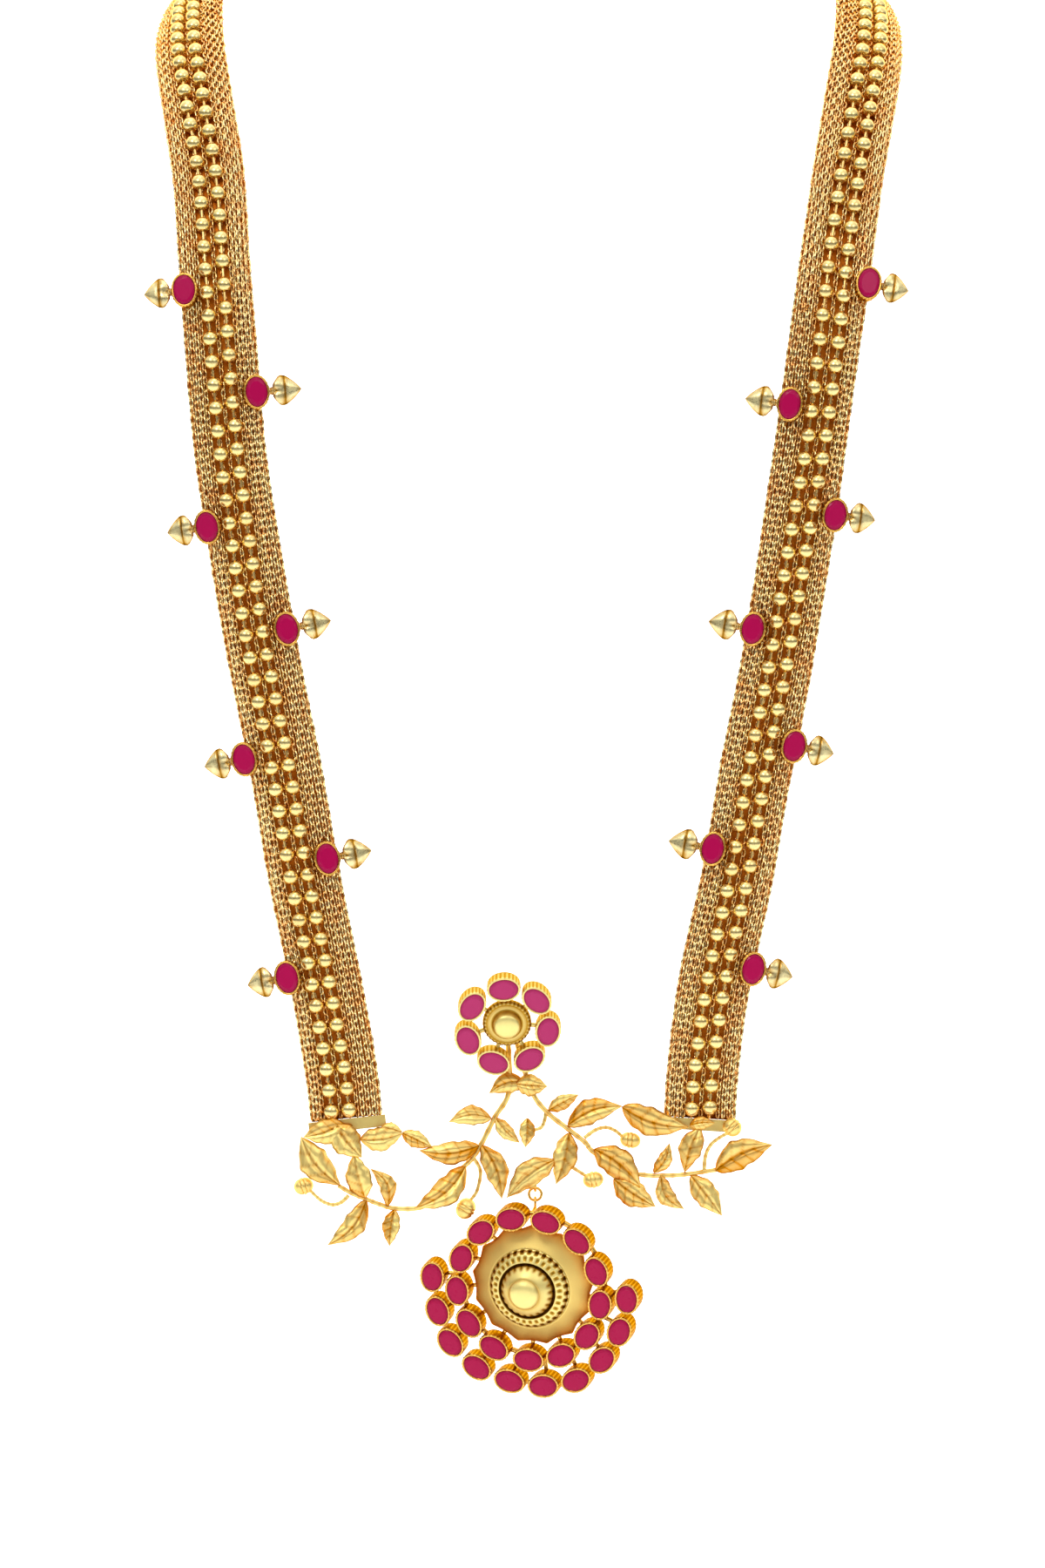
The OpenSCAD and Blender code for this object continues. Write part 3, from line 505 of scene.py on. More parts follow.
collets = {
    "sides": 48,
    "flutes": 24,
    "fluteShade": 8.0,  # painted shade in the flutes' grooves, for each millimetre of their depth
    # distance out from the stone's edge, height over the rim or, with 1 at the end, over the foot, share of
    # deep tone (painted shade at the foot and down inside the cup, a painted highlight on the lip), depth of
    # the flutes
    "rows": np.array([
        [-0.8, 0.02, 0.9, 0, 1], [0.28, 0, 0.9, 0, 1], [0.42, 0.12, 0.8, 0.04, 1], [0.44, 1, 0.6, 0.1, 1],
        [0.46, -0.7, 0.5, 0.12, 0], [0.5, -0.42, 0.4, 0.14, 0], [0.5, -0.18, 0.3, 0.12, 0],
        [0.44, -0.04, 0, 0.08, 0], [0.32, 0.06, -0.1, 0.06, 0], [0.14, 0.06, 0, 0, 0], [0.02, 0, 0.2, 0, 0],
        [-0.06, -0.14, 0.6, 0, 0], [-0.08, -1.2, 1, 0, 0],
    ]),
    "stoneCorners": 12,
    # share of the stone's outline, height over the rim, turn in facets, share of deep tone, painted shade
    # deepest on the part sunk in the cup and palest on the table
    "stoneRows": np.array([
        [0.6, -1.3, 0, 1.2], [0.98, -0.2, 0, 0.7], [1, -0.05, 0.5, 0.45], [0.86, 0.2, 0, 0.2],
        [0.72, 0.32, 0.5, -0.1],
    ]),
}


# Oval cup for a group's stones: each row an ellipse a cos, b sin, its wall drawn in between the flutes by a
# cosine
def colletShape(group):
    a = around(collets["sides"])[None]
    out, rise, deep, flute, foot = (collets["rows"][:, k, None] for k in range(5))
    groove = 0.5 - 0.5 * np.cos(collets["flutes"] * a)
    grow = out - flute * groove
    long, wide = group["stone"]
    grid = ovals(wide / 2 + grow, long / 2 + grow, a, rise + group["height"] * (1 - foot))
    # the tone paints shade deeper in the flutes' grooves
    return ringSolid(grid, deep + collets["fluteShade"] * flute * groove)


# Cut stone: rings of the outline shrunk and raised, each half a facet round from the last
def stoneShape(group):
    n = collets["stoneCorners"]
    share, rise, shift, tone = (collets["stoneRows"][:, k, None] for k in range(4))
    a = (np.arange(n)[None] + shift) * 2 * np.pi / n
    long, wide = group["stone"]
    grid = ovals(share * wide / 2, share * long / 2, a, group["height"] + rise)
    points, (sides, *ends), tones = ringSolid(grid, tone)
    return points, [np.vstack([sides[:, [0, 1, 2]], sides[:, [0, 2, 3]]]), *ends], tones


sideStones = {
    "stone": [5.8, 4.2],  # length along the strap, width across it
    "height": 2.2,
    "lean": 10.0,
    "seat": 1.65,  # height of the cups' feet over the strap's middle surface
    # strap, distance up from the mesh's lower end, place across with outward positive
    "rows": np.array([
        [-1, 160.5, 5.8], [-1, 116.1, 6.05], [-1, 71.3, 7.1], [-1, 28.7, 6.7],
        [-1, 140.3, -5.8], [-1, 94.3, -5], [-1, 49.7, -4.6],
        [1, 162.3, 6.5], [1, 118.2, 6.25], [1, 73.6, 5.95], [1, 30.3, 6.4],
        [1, 137.7, -4.65], [1, 94.2, -5.3], [1, 51.4, -5.25],
    ]),
    "outerDropShare": 0.9,  # the length of outer drops to that of inner ones
    "dropStations": 52,
    "dropAcross": 11,
    # distance out from the stone's middle, half width, height of the ridge, share of deep tone, painted shade
    # in the grooves between ridges
    "drop": np.array([
        [2.3, 0.8, 0.4, 0.6], [2.6, 0.85, 0.65, 0.2], [2.85, 0.6, 0.4, 1.1], [3.1, 0.85, 0.65, 0.2],
        [3.35, 0.6, 0.4, 1.1], [3.6, 0.85, 0.6, 0.3], [3.85, 1.3, 0.5, 0.9], [4.1, 2.2, 0.6, 0.5],
        [4.4, 2.7, 0.85, 0.1], [4.9, 2.95, 1, 0], [5.3, 2.9, 0.95, 0.5], [5.6, 2.85, 0.7, 1.3],
        [5.85, 2.75, 0.95, 0.3], [6.4, 2.4, 0.9, 0],
        [7.2, 1.8, 0.7, 0], [8, 1.05, 0.5, 0.3], [8.5, 0.5, 0.35, 0.6], [8.8, 0.12, 0.3, 0.8],
    ]),
}


# Frames of the side stones: outward from the strap, along it, and up from the seat, leaning outward
def sideFrames():
    rows = sideStones["rows"]
    made = []
    for side in (-1, 1):
        own = rows[rows[:, 0] == side]
        p, t, n, out = strapFrames(side, strapEnd[side] - own[:, 1])
        away = (side * np.sign(own[:, 2]))[:, None]
        lean = -away * np.radians(sideStones["lean"])
        right = np.cross(n, t)
        x = right * np.cos(lean) + n * np.sin(lean)
        up = n * np.cos(lean) - right * np.sin(lean)
        made.append((p + out * own[:, 2, None] + n * sideStones["seat"], away * x, -away * t, up))
    return [np.vstack(group) for group in zip(*made)]


# Rows between the given ones, at even steps along the straight lines that join them
def resample(rows, count):
    u = np.linspace(0, len(rows) - 1, count)
    return np.column_stack([np.interp(u, np.arange(len(rows)), column) for column in rows.T])


# Round a flat shape: v from -1 to 1 over its face, where above is 1, and back under it, where above is 0
def overAndUnder(n):
    v = np.concatenate([np.linspace(-1, 1, n), np.linspace(1, -1, n)[1:-1]])[None]
    return v, np.concatenate([np.ones(n), np.zeros(n - 2)])[None]


# Heart drop behind a ridged link: a lens at each distance, its two lobes drawn back beside a cleft and a fold
# across its middle
def dropShape():
    x, half, ridge, deep = resample(sideStones["drop"], sideStones["dropStations"]).T[..., None]
    v, above = overAndUnder(sideStones["dropAcross"])
    lobe = 0.75 * np.exp(-((x - 4.2) / 0.7) ** 2) * np.sin(np.pi * np.abs(v) ** 0.9)
    cleft = np.exp(-(v / 0.2) ** 2) * (x > 3.8)
    top = ridge * (1 - np.abs(v) ** 2.4) - 0.3 * cleft * np.exp(-((x - 4.3) / 1.2) ** 2) - 0.06 * cleft
    z = 1.2 + above * top - (1 - above) * 0.35 * (1 - np.abs(v) ** 3)
    grid = np.stack([x - lobe, half * v + 0 * x, z], axis=-1)
    # Painted shade in the tone: deeper in the grooves, towards the edges, underneath and in the cleft
    tone = deep + 0.9 * np.abs(v) ** 4 + 0.5 * (1 - above) + 0.5 * cleft * np.exp(-((x - 4.2) / 0.8) ** 2)
    return ringSolid(grid, tone)


origin, e1, e2, e3 = sideFrames()
count = len(origin)
sideNodes = [f"side_setting_{k + 1}" for k in range(count)]
cup = colletShape(sideStones)
addPiece("sideSettings", [copies(cup, origin, e1, e2, e3)], "bezel", "necklace", sideNodes)
reach = np.where(sideStones["rows"][:, 2] > 0, sideStones["outerDropShare"], 1)[:, None]
addPiece("sideDrops", [copies(dropShape(), origin, e1 * reach, e2, e3)], "drop", "necklace",
         sideNodes)
stone = stoneShape(sideStones)
addPiece("sideRubies", [copies(stone, origin, e1, e2, e3)], "sideRuby", "necklace",
         [f"side_ruby_{k + 1}" for k in range(count)], flat=True)
print("side stones made:", count)


# Turn about one axis by the right-hand rule, as a matrix that acts on rows from the right
def turn(axis, degrees):
    c, s = np.cos(np.radians(degrees)), np.sin(np.radians(degrees))
    i, j = [(1, 2), (2, 0), (0, 1)]["xyz".index(axis)]
    matrix = np.eye(3)
    matrix[i, i], matrix[j, j], matrix[i, j], matrix[j, i] = c, c, s, -s
    return matrix


# A shape turned by a matrix and then shifted to a place
def moved(shape, matrix, place):
    return shape[0] @ matrix + place, shape[1], shape[2]


# Stones round a centre: each frame is (radial, tangential, up), at its angle and radius
def roundFrames(angles, radii):
    a = np.radians(angles)
    radial = np.column_stack([np.cos(a), np.sin(a), 0 * a])
    tangent = np.column_stack([-np.sin(a), np.cos(a), 0 * a])
    up = np.tile([0.0, 0.0, 1.0], (len(a), 1))
    return radial * np.broadcast_to(radii, len(a))[:, None], radial, tangent, up


# Turned shape: rows of radius, height and tone carried round an axis, which another function can work on by
# the angle
def lathe(rows, sides, work=None):
    a = around(sides)[None]
    r, z, tone = (rows[:, k, None] + 0 * a for k in range(3))
    if work is not None:
        r, z, tone = work(r, z, a, tone)
    return ringSolid(ovals(r, r, a, z), tone)


flower = {
    "place": [-4.3, -137, -202.7],
    "lean": 21.0,
    "stone": [5.6, 4.1],
    "height": 3.2,
    "angles": [94.6, 44, -6.4, -57, -109.3, -160, 147.6],
    "radii": [7.8, 7.9, 7.9, 7.9, 7.8, 7.95, 7.9],
    "spokeRadius": 0.45,
    "spokeHeight": 0.5,
    "spokeFrom": 4.0,
    "colletTone": -0.2,  # a little paler than the material itself
    # radius, height and share of deep tone of the boss from its foot to the crown of its button: painted
    # shade at the foot and in the grooves, a painted highlight on the crown
    "boss": np.array([
        [0.5, 0, 0.8], [4.4, 0, 0.8], [4.65, 0.3, 0.8], [4.7, 0.9, 0.8], [4.55, 1.35, 0.7], [4.2, 1.6, 0.5],
        [3.85, 1.55, 1.1], [3.7, 1.5, 0.8], [3.2, 1.55, 0.4], [2.85, 1.6, 1.2], [2.7, 1.75, 1],
        [2.62, 2.1, 0.5], [2.57, 2.7, 0.2], [2.4, 3.15, 0], [2.05, 3.42, -0.2], [1.5, 3.62, -0.2],
        [0.8, 3.76, -0.2], [0.1, 3.8, -0.2],
    ]),
    "bossSides": 136,
    "ropeTurns": 34,
    "ropeFrom": 3.95,  # radius where the rope edge begins
    "ropeInward": 0.12,
    "ropeHeight": 0.16,
    # painted shade in the rope's dips
    "ropeShade": 1.1,
}


# Rope edge: where the rope is, radius and height fall and the tone deepens by 1 - |sin| of half its turns,
# painted shade in its dips
def ropeEdge(r, z, a, tone):
    rim = np.clip((r - flower["ropeFrom"]) / 0.35, 0, 1) * (z > 0.5)
    wave = np.abs(np.sin(flower["ropeTurns"] / 2 * a + 0.6 * z))
    return (r - flower["ropeInward"] * rim * (1 - wave), z + flower["ropeHeight"] * rim * (wave - 0.5),
            tone + flower["ropeShade"] * rim * (1 - wave))


# A straight round rod between two points, a little slimmer at both ends
def rod(start, end, radius, sides=8):
    along = unit(end - start)
    side = unit(np.cross(along, [0.3, 0.5, 0.81]))
    p = start + np.linspace(0, 1, 5)[:, None] * (end - start)
    return tubeAlong(p, np.tile(side, (5, 1)), np.tile(np.cross(along, side), (5, 1)),
                     radius * np.array([0.8, 1, 1, 1, 0.8]), sides)


frameOfFlower = turn("x", 90 + flower["lean"])
origin, e1, e2, e3 = roundFrames(flower["angles"], flower["radii"])
cup = colletShape(flower)
height = [0, 0, flower["spokeHeight"]]
spokes = [rod(way * flower["spokeFrom"] + height, way * (radius - 1) + height, flower["spokeRadius"])
          for way, radius in zip(e1, flower["radii"])]
settings = [copies(cup, origin, e1, e2, e3, flower["colletTone"]), *spokes]
addPiece("flowerCollets", [moved(s, frameOfFlower, flower["place"]) for s in settings], "boss",
         "necklace", ["flower_setting"])
boss = lathe(flower["boss"], flower["bossSides"], ropeEdge)
addPiece("flowerBoss", [moved(boss, frameOfFlower, flower["place"])], "boss", "necklace",
         ["flower_setting"])
stones = copies(stoneShape(flower), origin, e1, e2, e3)
addPiece("flowerRubies", [moved(stones, frameOfFlower, flower["place"])], "flowerRuby", "necklace",
         [f"flower_ruby_{k + 1}" for k in range(len(origin))], flat=True)
print("flower made")

spray = {
    "depth": -132.4,
    "thickness": 0.7,
    "stations": 44,
    "across": 11,
    "veins": 5,  # side veins along each half of a leaf
    "veinSlant": 0.3,
    "veinDepth": 0.12,
    "grooveDepth": 0.16,
    # shares of a leaf's half width
    "swell": 0.2,
    "curl": 0.12,
    "ripple": 0.05,
    "lead": 0.85,  # below 1 a leaf is widest nearer its base
    # base x, base z, tip x, tip z, width, sideways bend, forward bow, roll, forward set of the base, own lead
    "left": [
        [-7.3, -221.4, -15.4, -222.1, 3.9, -0.95, 0.4, 10, 0.1],
        [-6.5, -221.4, -1.9, -226.1, 2.9, -0.35, 0.4, -12, 0],
        [-9.6, -226.7, -21.1, -227.6, 4.6, 1, 0.7, 14, 0.1],
        [-24.4, -224.2, -18.6, -226.9, 3.3, 0, 0.5, 0, 0.1],
        [-32.4, -225.5, -24.2, -224.3, 4.8, -0.5, 0.5, 8, 0.2],
        [-28.4, -223.2, -24.3, -224, 2.6, 0.1, 0.3, -14, 0.2],
        [-35.6, -222.4, -43.2, -225, 5, 0.4, 0.4, 6, 0.9],
        [-36.2, -234.3, -43.7, -225, 6, 1.1, 0.8, 10, 0.3, 1.15],
        [-37.2, -222.4, -32.1, -228.9, 5.9, -0.4, 0.5, -8, 0.9],
        [-31.5, -236.7, -33.6, -228.1, 5.1, 0.25, 0.8, -10, 0.4],
        [-27, -238.2, -30.4, -231.1, 3.4, -1.6, 0.6, 8, 0.2],
        [-31.2, -237.1, -38.6, -245.7, 4.4, 1.3, 0.6, -10, 0.1],
        [-25.8, -238.9, -26.8, -245.9, 3.5, -0.25, 0.4, 12, 0.1],
        [-12.2, -230.6, -21.9, -238.6, 5.3, 1.4, 0.9, 8, 0.1],
        [-9.1, -226.6, -5.3, -236.8, 4.7, 1, 0.7, -10, 0.2],
        [-1, -214.5, -7.7, -216.6, 4.1, -0.9, 0.4, 0, 0.5, 0.75],
        [-2.6, -214.8, 3.4, -215.3, 4.3, -0.05, 0.4, 0, 1],
    ],
    "right": [
        [-0.4, -221.4, -0.8, -227, 3.1, 0.15, 0.3, 0, 0],
        [3.6, -219.9, 9.4, -216.9, 3, 0.1, 0.4, 10, 0],
        [7.3, -222.8, 17.7, -219.1, 4.9, 1.15, 0.7, -8, 0.1],
        [17.7, -219.3, 30.4, -223.1, 5.5, -1.1, 0.7, 8, 0.3, 0.8],
        [7.6, -224.2, 5.1, -234, 4.8, 0.4, 0.6, 8, 0.1],
        [4.8, -229.4, -4.3, -236.6, 5.2, -0.95, 0.5, -8, 0.5],
        [12.4, -227.3, 21.3, -234.5, 5.9, 0.8, 0.8, 8, 0.3],
        [16.1, -233, 24.1, -238.3, 5.2, -0.35, 0.5, -8, 0.1],
        [23.8, -231.9, 26.8, -226.2, 2.9, -0.7, 0.4, 8, 0],
        [29.7, -231.8, 32.8, -222.9, 4.7, 0.5, 0.6, -6, 0.2, 1.2],
        [35.6, -231.4, 46.4, -226.5, 5.8, 1, 0.7, 8, 0.1],
        [30.9, -232.4, 36.8, -240, 4.8, 0.05, 0.6, -8, 0.1],
        [25.1, -232.3, 29.6, -238.8, 3.6, -1.45, 0.5, 8, 0.1],
        [30.6, -222.8, 35.4, -222.3, 2.6, 0.3, 0.2, 0, 0.8],
    ],
    "stemSteps": 6,
    # radius, then points x, z and any forward set
    "leftStems": [
        [0.475, [[-4.6, -205.4, 2.8], [-4, -208.4, 1.2], [-4, -216.6], [-6.6, -221.2], [-9.2, -226.4],
                 [-11, -229.2], [-12.7, -230.9], [-17, -236], [-20.8, -238.5], [-25.7, -238.7],
                 [-28.7, -237.9], [-31.3, -236.9], [-34, -235.8], [-36.6, -234.3]]],
        [0.35, [[-10.8, -228.9], [-9.4, -231.5], [-10, -235.2], [-11.2, -237]]],
        [0.35, [[-34.6, -236.2], [-36, -237.5], [-37.6, -238], [-39.3, -237.5], [-40.6, -236.6],
                [-42, -235.2]]],
    ],
    "rightStems": [
        [0.475, [[-2.6, -205.4, 2.8], [-2, -208.4, 1.2], [0.5, -216.4], [3.5, -220.4], [7.4, -223.5],
                 [10.7, -226.1], [12, -227.7], [17, -231.3], [22, -232.3], [25.5, -232.4], [29.7, -232.2],
                 [35.8, -231.3]]],
        [0.35, [[3.2, -219.9], [2.9, -221.8], [2.1, -223.3], [-0.2, -223.8]]],
        [0.35, [[10.5, -225.2], [12.6, -223.7], [14.6, -223.2], [16.4, -223.8], [17.8, -225]]],
        [0.35, [[5.8, -229.4], [8.8, -231.2], [11, -232.6]]],
        [0.35, [[33.4, -231.6], [33.7, -228.6, 0.2], [34.7, -226.5, 0.5], [36.4, -225.1, 0.8],
                [37.9, -224.3, 1]]],
    ],
    # x, z, length, width, angle of the long axis, forward set
    "leftBuds": [[-43.2, -234.4, 3.8, 3.3, 20, 0.5], [-12.2, -238.7, 4.2, 3.7, 60, 0.5]],
    "rightBuds": [[19.3, -225.6, 4, 3.1, -10, 0.5], [12.2, -233.2, 4, 3.2, 10, 0.5],
                  [38.8, -223.1, 3.7, 3.5, -45, 1.5]],
}


# Leaf: half width is sin of the length, drawn to a point. The face is a midrib groove between two swellings,
# with side veins cut as a wave of the length minus a share of the distance from the midrib
def leafShape(row, random):
    baseX, baseZ, tipX, tipZ, width, bend, bow, roll, ahead = row[:9]
    lead = row[9] if len(row) > 9 else spray["lead"]
    base = np.array([baseX, spray["depth"] - ahead, baseZ])
    along = np.array([tipX - baseX, 0, tipZ - baseZ])
    a = unit(along)
    c = np.cross(forward, a)
    across = c * np.cos(np.radians(roll)) + forward * np.sin(np.radians(roll))
    s = np.linspace(0, 1, spray["stations"])[:, None]
    v, above = overAndUnder(spray["across"])
    half = width / 2 * np.maximum(0.05, np.sin(np.pi * s ** lead) ** 0.8 * (1 - 0.35 * s ** 5))
    half = half * (1 + 0.05 * np.sin(2 * np.pi * (3.2 * s + random.uniform())) + 0.03 * np.sin(34 * s))
    middle = (base + along * s + c * bend * np.sin(np.pi * s)
              + forward * bow * np.sin(np.radians(150 * s)))
    swell = spray["swell"] * half * np.sin(np.pi * np.abs(v) ** 0.8)
    slant = spray["veinSlant"] * np.abs(v) * width / np.linalg.norm(along)
    vein = np.sin(np.pi * spray["veins"] * (s - slant)) ** 20
    body = np.sin(np.pi * np.clip(s, 0.04, 0.96))
    cut = spray["veinDepth"] * vein * np.clip(1.15 - np.abs(v), 0, 1) * body
    groove = spray["grooveDepth"] * np.exp(-(v / 0.07) ** 2) * body
    curl = spray["curl"] * half * np.sin(2 * np.pi * (1.3 * s + random.uniform())) * v
    ripple = spray["ripple"] * half * np.sin(2 * np.pi * (2.7 * s + random.uniform())) * np.abs(v) ** 3
    thick = spray["thickness"] / 2 * (1 - 0.55 * v ** 2)
    up = above * (thick + swell - cut - groove) - (1 - above) * (thick - 0.5 * swell) + curl + ripple
    grid = middle[:, None] + across * (half * v)[..., None] + forward * up[..., None]
    # Painted shade in the tone: deeper at the base, in the veins and the midrib groove, on one half and
    # underneath; the rims deepen as painted reflection, and the rest varies at random
    tone = (0.75 * np.exp(-s / 0.13) + 0.5 * vein * (np.abs(v) < 0.98) + 0.6 * np.exp(-(v / 0.09) ** 2)
            + 0.4 * np.abs(v) ** 6 + random.uniform(-0.1, 0.3) + 0.3 * np.sign(v) * random.uniform(-1, 1)
            + 0.5 * (1 - above))
    return ringSolid(grid, tone)


# Stem: a tube along the curve through its points, a little thicker at its joints and thinner to the end
def stemShape(row):
    radius, points = row
    last = len(points) - 1
    knots = np.array([[q[0], spray["depth"] - (q[2] if len(q) > 2 else 0), q[1]] for q in points])
    p = curveThrough(knots, np.linspace(0, last, spray["stemSteps"] * last + 1))
    t = unit(np.gradient(p, axis=0))
    side = unit(np.cross(t, forward))
    joints = np.cos(2 * np.pi * np.linspace(0, last, len(p))) ** 8
    size = radius * (1 + 0.12 * joints) * np.linspace(1.05, 0.85, len(p))
    return tubeAlong(p, side, np.cross(t, side), size, 10, 0.12 + 0.4 * joints)


# Bud: a turned almond, its radius the root of 1 - t t, with two bands cut into it and painted darker as shade
def budShape(row):
    x, z, length, width, angle, ahead = row
    t = np.linspace(-0.985, 0.985, 30)
    band = np.exp(-((t - 0.18) / 0.05) ** 2) + np.exp(-((t + 0.25) / 0.05) ** 2)
    r = np.sqrt(1 - t ** 2) * (1 - 0.12 * band)
    shape = lathe(np.column_stack([r * width / 2, t * length / 2, 0.1 + 0.7 * band]), 20)
    matrix = turn("y", 90) @ turn("z", angle) @ turn("x", 90)
    return moved(shape, matrix, [x, spray["depth"] - ahead, z])


for word, seed in (("left", 5), ("right", 6)):
    random = np.random.default_rng(seed)
    shapes = [leafShape(row, random) for row in spray[word]]
    shapes += [stemShape(row) for row in spray[word + "Stems"]]
    shapes += [budShape(row) for row in spray[word + "Buds"]]
    addPiece(word + "Branch", shapes, "leaf", "necklace", [word + "_branch"])
print("spray made")

pendant = {
    "place": [0.75, -130.4, -253.2],
    "lean": 16.5,
    "turnLeft": 16.5,
    "stone": [5.4, 4],
    "height": 3.6,
    "ringRadius": 14.3,
    "ringAngles": [99.5, 71.5, 43, 15, -12, -40.5, -68, -95, -124, -151, -178.5, 154.5, 127],
    "crescentAngles": [173, 193.8, 213.4, 233.5, 253.7, 273.8, 293.4, 313.7, 334.2, 354.9],
    "crescentRadii": [19.2, 19.1, 19.8, 19.7, 19.3, 19.5, 19.9, 19.5, 19.3, 19.5],
    "rimWire": 0.55,
    "tieRadius": 0.45,
    "domeSides": 264,
    "notches": 32,
    "grains": 22,
    # radius, half width, depth and deep tone, which paints shade in them, of the outer notches, the inner
    # ones and the row of grains
    "cutRows": [[7.5, 0.45, 0.22, 2], [6.4, 0.5, 0.2, 1.6], [4.85, 0.4, 0.35, 1.6]],
    "scallopFrom": 9.6,
    "scallopDrop": 0.3,
    "scallopBulge": 0.07,  # share of the radius
    "crownRow": 9,  # the row of the dome where its worked crown begins
    # radius, height and share of deep tone, from under the edge to the crown: painted shade under the edge
    # and in the grooves, a pale top as painted highlight
    "dome": np.array([
        [0.5, 0.05, 1], [10.9, 0.05, 1], [11.3, 0.2, 0.1], [11.35, 0.5, 0], [11.1, 0.8, 0.1],
        [10.6, 1.05, 0.1], [10, 1.35, 0.1], [9.3, 1.75, 0.05], [8.6, 2.2, 0], [8, 2.62, 0],
        [7.75, 2.85, 0.1], [7.65, 2.95, 0.8], [7.6, 3.2, 0.3], [7.4, 3.5, 0], [7, 3.85, 0.05],
        [6.5, 4.15, 0.05], [6, 4.45, 0.05], [5.7, 4.55, 0.2], [5.5, 4.2, 1.6], [5.4, 4, 2], [5.2, 4, 2],
        [5.1, 4.5, 1.2], [4.95, 4.9, 0.2], [4.75, 5.2, 0.1], [4.3, 5.7, 0.05], [3.9, 6.1, 0.1],
        [3.5, 6.45, 0.25], [3.2, 6.65, 0.6], [3, 6.7, 0.8], [2.9, 6.85, 0.4], [2.7, 7.15, 0.1],
        [2.3, 7.5, 0], [1.8, 7.75, -0.1], [1.2, 7.92, -0.15], [0.6, 8, -0.2], [0.2, 8.02, -0.2],
    ]),
    "loopAt": [1.1, -131.2, -237.59],
    "loopRadius": 0.95,
    "loopWire": 0.26,
    "stalkWay": [-0.4, -3.2, -1],
}


# How far a place lies inside a band of radii: 1 in its middle, 0 past its half width
def band(r, middle, half):
    return np.clip(1 - np.abs(r - middle) / half, 0, 1) ** 0.5


# Dome: scallops at the edge between the ring's stones, two rows of notches by a clipped cosine, and a row of
# grains by |sin| in the groove
def domeWork(r, z, a, tone):
    stones = np.sort(np.radians(pendant["ringAngles"]) % (2 * np.pi))
    wrapped = np.concatenate([stones[-1:] - 2 * np.pi, stones, stones[:1] + 2 * np.pi])
    lobe = np.abs(np.cos(np.pi * np.interp(a, wrapped, np.arange(-1, len(stones) + 1))))
    edge = np.clip((r - pendant["scallopFrom"]) / 1.7, 0, 1) ** 1.5 * (z > 0.1)
    ripple = 1.2 * np.cos(pendant["notches"] * a)
    cuts = (np.clip(0.5 - ripple, 0, 1), np.clip(0.5 + ripple, 0, 1),
            1 - np.abs(np.sin(pendant["grains"] / 2 * a)))
    worked = [(band(r, middle, half) * cut, depth, deep)
              for (middle, half, depth, deep), cut in zip(pendant["cutRows"], cuts)]
    z = z - sum(share * depth for share, depth, _ in worked) - pendant["scallopDrop"] * edge * (1 - lobe)
    # painted shade deepens the notches and grains, and painted reflection deepens the edge to orange, less by
    # the stones
    tone = tone + sum(share * deep for share, _, deep in worked) + edge * (0.95 - 0.3 * lobe)
    return r * (1 + pendant["scallopBulge"] * edge * (1 - lobe)), z, tone


# A closed round ring of wire about z
def wireRing(ringRadius, wireRadius, segments, sides=10):
    a, b = around(segments)[:, None], around(sides)[None]
    r = ringRadius + wireRadius * np.cos(b)
    return ringSolid(ovals(r, r, a, wireRadius * np.sin(b)), roundRows=True)


frameOfPendant = turn("x", 90 + pendant["lean"]) @ turn("z", -pendant["turnLeft"])
ring = roundFrames(pendant["ringAngles"], pendant["ringRadius"])
crescent = roundFrames(pendant["crescentAngles"], pendant["crescentRadii"])
cup = colletShape(pendant)
thick = pendant["tieRadius"]
ties = [rod(way * pendant["ringRadius"], way * 18.2, thick) for way in crescent[1]]
ties += [rod(way * 10.4 + [0, 0, -0.2], way * 12.2 + [0, 0, 0.2], thick) for way in ring[1]]
rim = wireRing(pendant["ringRadius"], pendant["rimWire"], 96)
placed = [moved(s, frameOfPendant, pendant["place"])
          for s in (copies(cup, *ring), copies(cup, *crescent), rim, *ties)]
loop = moved(wireRing(pendant["loopRadius"], pendant["loopWire"], 28), turn("y", 90), pendant["loopAt"])
stalkTop = np.array(pendant["loopAt"]) - [0, 0, pendant["loopRadius"]]
stalk = rod(stalkTop, stalkTop + pendant["stalkWay"], 0.4)
addPiece("pendantCollets", placed + [loop, stalk], "bezel", "pendant", ["pendant_setting"])
domeRows = resample(pendant["dome"], 2 * len(pendant["dome"]) - 1)
split = 2 * pendant["crownRow"]
for name, rows, material in (("pendantDome", domeRows[:split + 1], "dome"),
                             ("pendantCrown", domeRows[split:], "boss")):
    shape = moved(lathe(rows, pendant["domeSides"], domeWork), frameOfPendant, pendant["place"])
    addPiece(name, [shape], material, "pendant", ["pendant_dome", "pendant_setting"])
stone = stoneShape(pendant)
for name, frames, node in (("pendantRingRubies", ring, "pendant_ring_rubies"),
                           ("pendantCrescentRubies", crescent, "pendant_crescent_rubies")):
    stones = moved(copies(stone, *frames), frameOfPendant, pendant["place"])
    addPiece(name, [stones], "pendantRuby", "pendant", [node], flat=True)
print("pendant made")

keptNodes = {
    "left_end_plate": "leaf", "right_end_plate": "leaf", "left_end_cap": "bezel", "right_end_cap": "bezel",
    "clasp_hook": "bezel", "spray_loop": "bezel", "jump_ring": "bezel",
}
for node, material in keptNodes.items():
    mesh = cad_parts[node].data
    mesh.materials.clear()
    mesh.materials.append(materials[material])
print("kept nodes finished:", len(keptNodes))

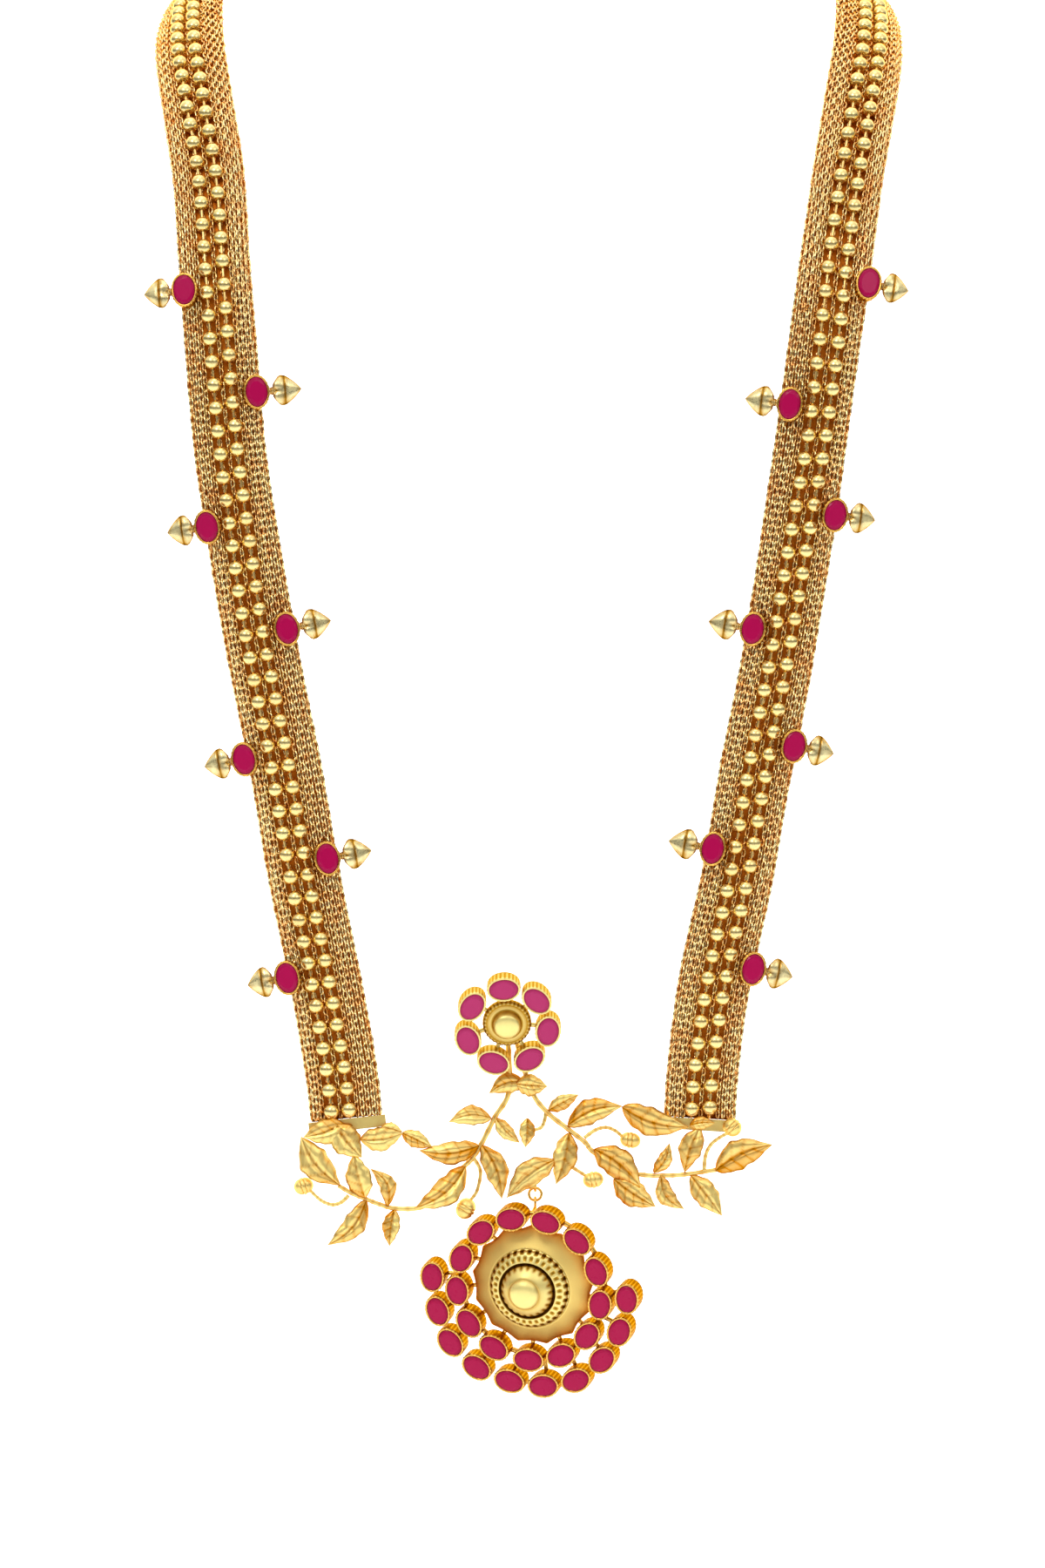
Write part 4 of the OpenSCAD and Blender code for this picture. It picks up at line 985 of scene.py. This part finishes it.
studio = {
    "floorHeight": -340.0,
    "wallDepth": 420.0,
    "halfWidth": 1500.0,
    "bendRadius": 250.0,
    "frontEnd": -3500.0,
    "wallTop": 2400.0,
    "lampColour": (1.0, 0.99, 0.97),
    # the paper is grey far in front, where polished gold should see something dark
    "paper": {"From Min": -0.9, "From Max": -0.5, "To Min": 0.3, "To Max": 0.9},
    # the wall glows white, and the floor in front of it less
    "glow": {"From Min": -0.1, "From Max": 0.35, "To Min": 0.15, "To Max": 1.0},
    # place, size, strength in watts, all aimed at the middle of the necklace
    "lights": [
        [(-420, -900, 560), 360, 2.0],
        [(520, -820, 380), 400, 0.7],
        [(0, -620, -760), 500, 0.6],
        [(0, -300, 800), 600, 0.9],
    ],
}


# Floor, quarter-round bend and back wall in one sheet: a profile pushed sideways, clear when seen from its
# back
def makeStudio():
    a = np.linspace(-np.pi / 2, 0, 14)
    r, depth, floor = studio["bendRadius"], studio["wallDepth"], studio["floorHeight"]
    y = np.concatenate([[studio["frontEnd"]], depth - r + r * np.cos(a), [depth]])
    z = np.concatenate([[floor], floor + r + r * np.sin(a), [studio["wallTop"]]])
    x = np.array([-studio["halfWidth"], studio["halfWidth"]])
    grid = np.stack(np.broadcast_arrays(x[None], y[:, None], z[:, None]), axis=-1)
    material = bpy.data.materials.new("whitePaperSweep")
    material.use_nodes = True
    tree = material.node_tree
    shader = tree.nodes["Principled BSDF"]
    shader.inputs["Roughness"].default_value = 0.9
    shader.inputs["Emission Color"].default_value = linear("#FFFFFF")
    place = addNode(tree, "ShaderNodeTexCoord").outputs["Object"]
    depth = addNode(tree, "ShaderNodeSeparateXYZ", links={"Vector": place}).outputs["Y"]
    for key, socket in (("paper", "Base Color"), ("glow", "Emission Strength")):
        tree.links.new(addNode(tree, "ShaderNodeMapRange", studio[key], {"Value": depth}).outputs[0],
                       shader.inputs[socket])
    backOfSheet = addNode(tree, "ShaderNodeNewGeometry").outputs["Backfacing"]
    clear = addNode(tree, "ShaderNodeBsdfTransparent").outputs["BSDF"]
    oneSided = addNode(tree, "ShaderNodeMixShader",
                       links={0: backOfSheet, 1: shader.outputs["BSDF"], 2: clear})
    tree.links.new(oneSided.outputs["Shader"], tree.nodes["Material Output"].inputs["Surface"])
    sheet = addMesh("studioSheet", grid.reshape(-1, 3), gridFaces(len(y), 2).tolist(), material, True)


# Round soft boxes, each at its place and aimed at the middle of the picture
def makeLights():
    target = np.array(cameraView["centre"])
    for index, (place, size, power) in enumerate(studio["lights"]):
        lamp = bpy.data.lights.new(f"softbox{index}", "AREA")
        lamp.shape = "DISK"
        lamp.size = size * millimetre
        lamp.energy = power
        lamp.color = studio["lampColour"]
        item = addObject(lamp.name, lamp)
        item.location = np.array(place) * millimetre
        item.rotation_euler = Vector(target - place).to_track_quat("-Z", "Y").to_euler()


room = {
    # height as 0 at the bottom to 1 at the top, then grey: dark round the horizon, so that polished gold
    # keeps its contrast
    "stops": [(0.0, 0.5), (0.38, 0.35), (0.46, 0.2), (0.62, 0.2), (0.7, 0.95), (1.0, 1.0)],
    "strength": 0.9,
}


# World: a grey that changes with the height of the look by straight steps between the stops
def makeWorld():
    world = bpy.data.worlds.new("studioRoom")
    bpy.context.scene.world = world
    world.use_nodes = True
    tree = world.node_tree
    tree.nodes.clear()
    place = addNode(tree, "ShaderNodeTexCoord").outputs["Generated"]
    height = addNode(tree, "ShaderNodeSeparateXYZ", links={"Vector": place}).outputs["Z"]
    ramp = addNode(tree, "ShaderNodeValToRGB", links={"Fac": addNode(
        tree, "ShaderNodeMapRange", {"From Min": -1.0, "From Max": 1.0}, {"Value": height}).outputs[0]})
    stops = room["stops"]
    ramp.color_ramp.elements[0].position = stops[0][0]
    ramp.color_ramp.elements[1].position = stops[-1][0]
    for position, _ in stops[1:-1]:
        ramp.color_ramp.elements.new(position)
    for element, (_, grey) in zip(ramp.color_ramp.elements, stops):
        element.color = (grey, grey, grey, 1.0)
    glow = addNode(tree, "ShaderNodeBackground", {"Strength": room["strength"]},
                   {"Color": ramp.outputs["Color"]})
    addNode(tree, "ShaderNodeOutputWorld", links={"Surface": glow.outputs["Background"]})


makeStudio()
makeLights()
makeWorld()
bpy.context.scene.view_settings.view_transform = "Standard"
print("studio made")
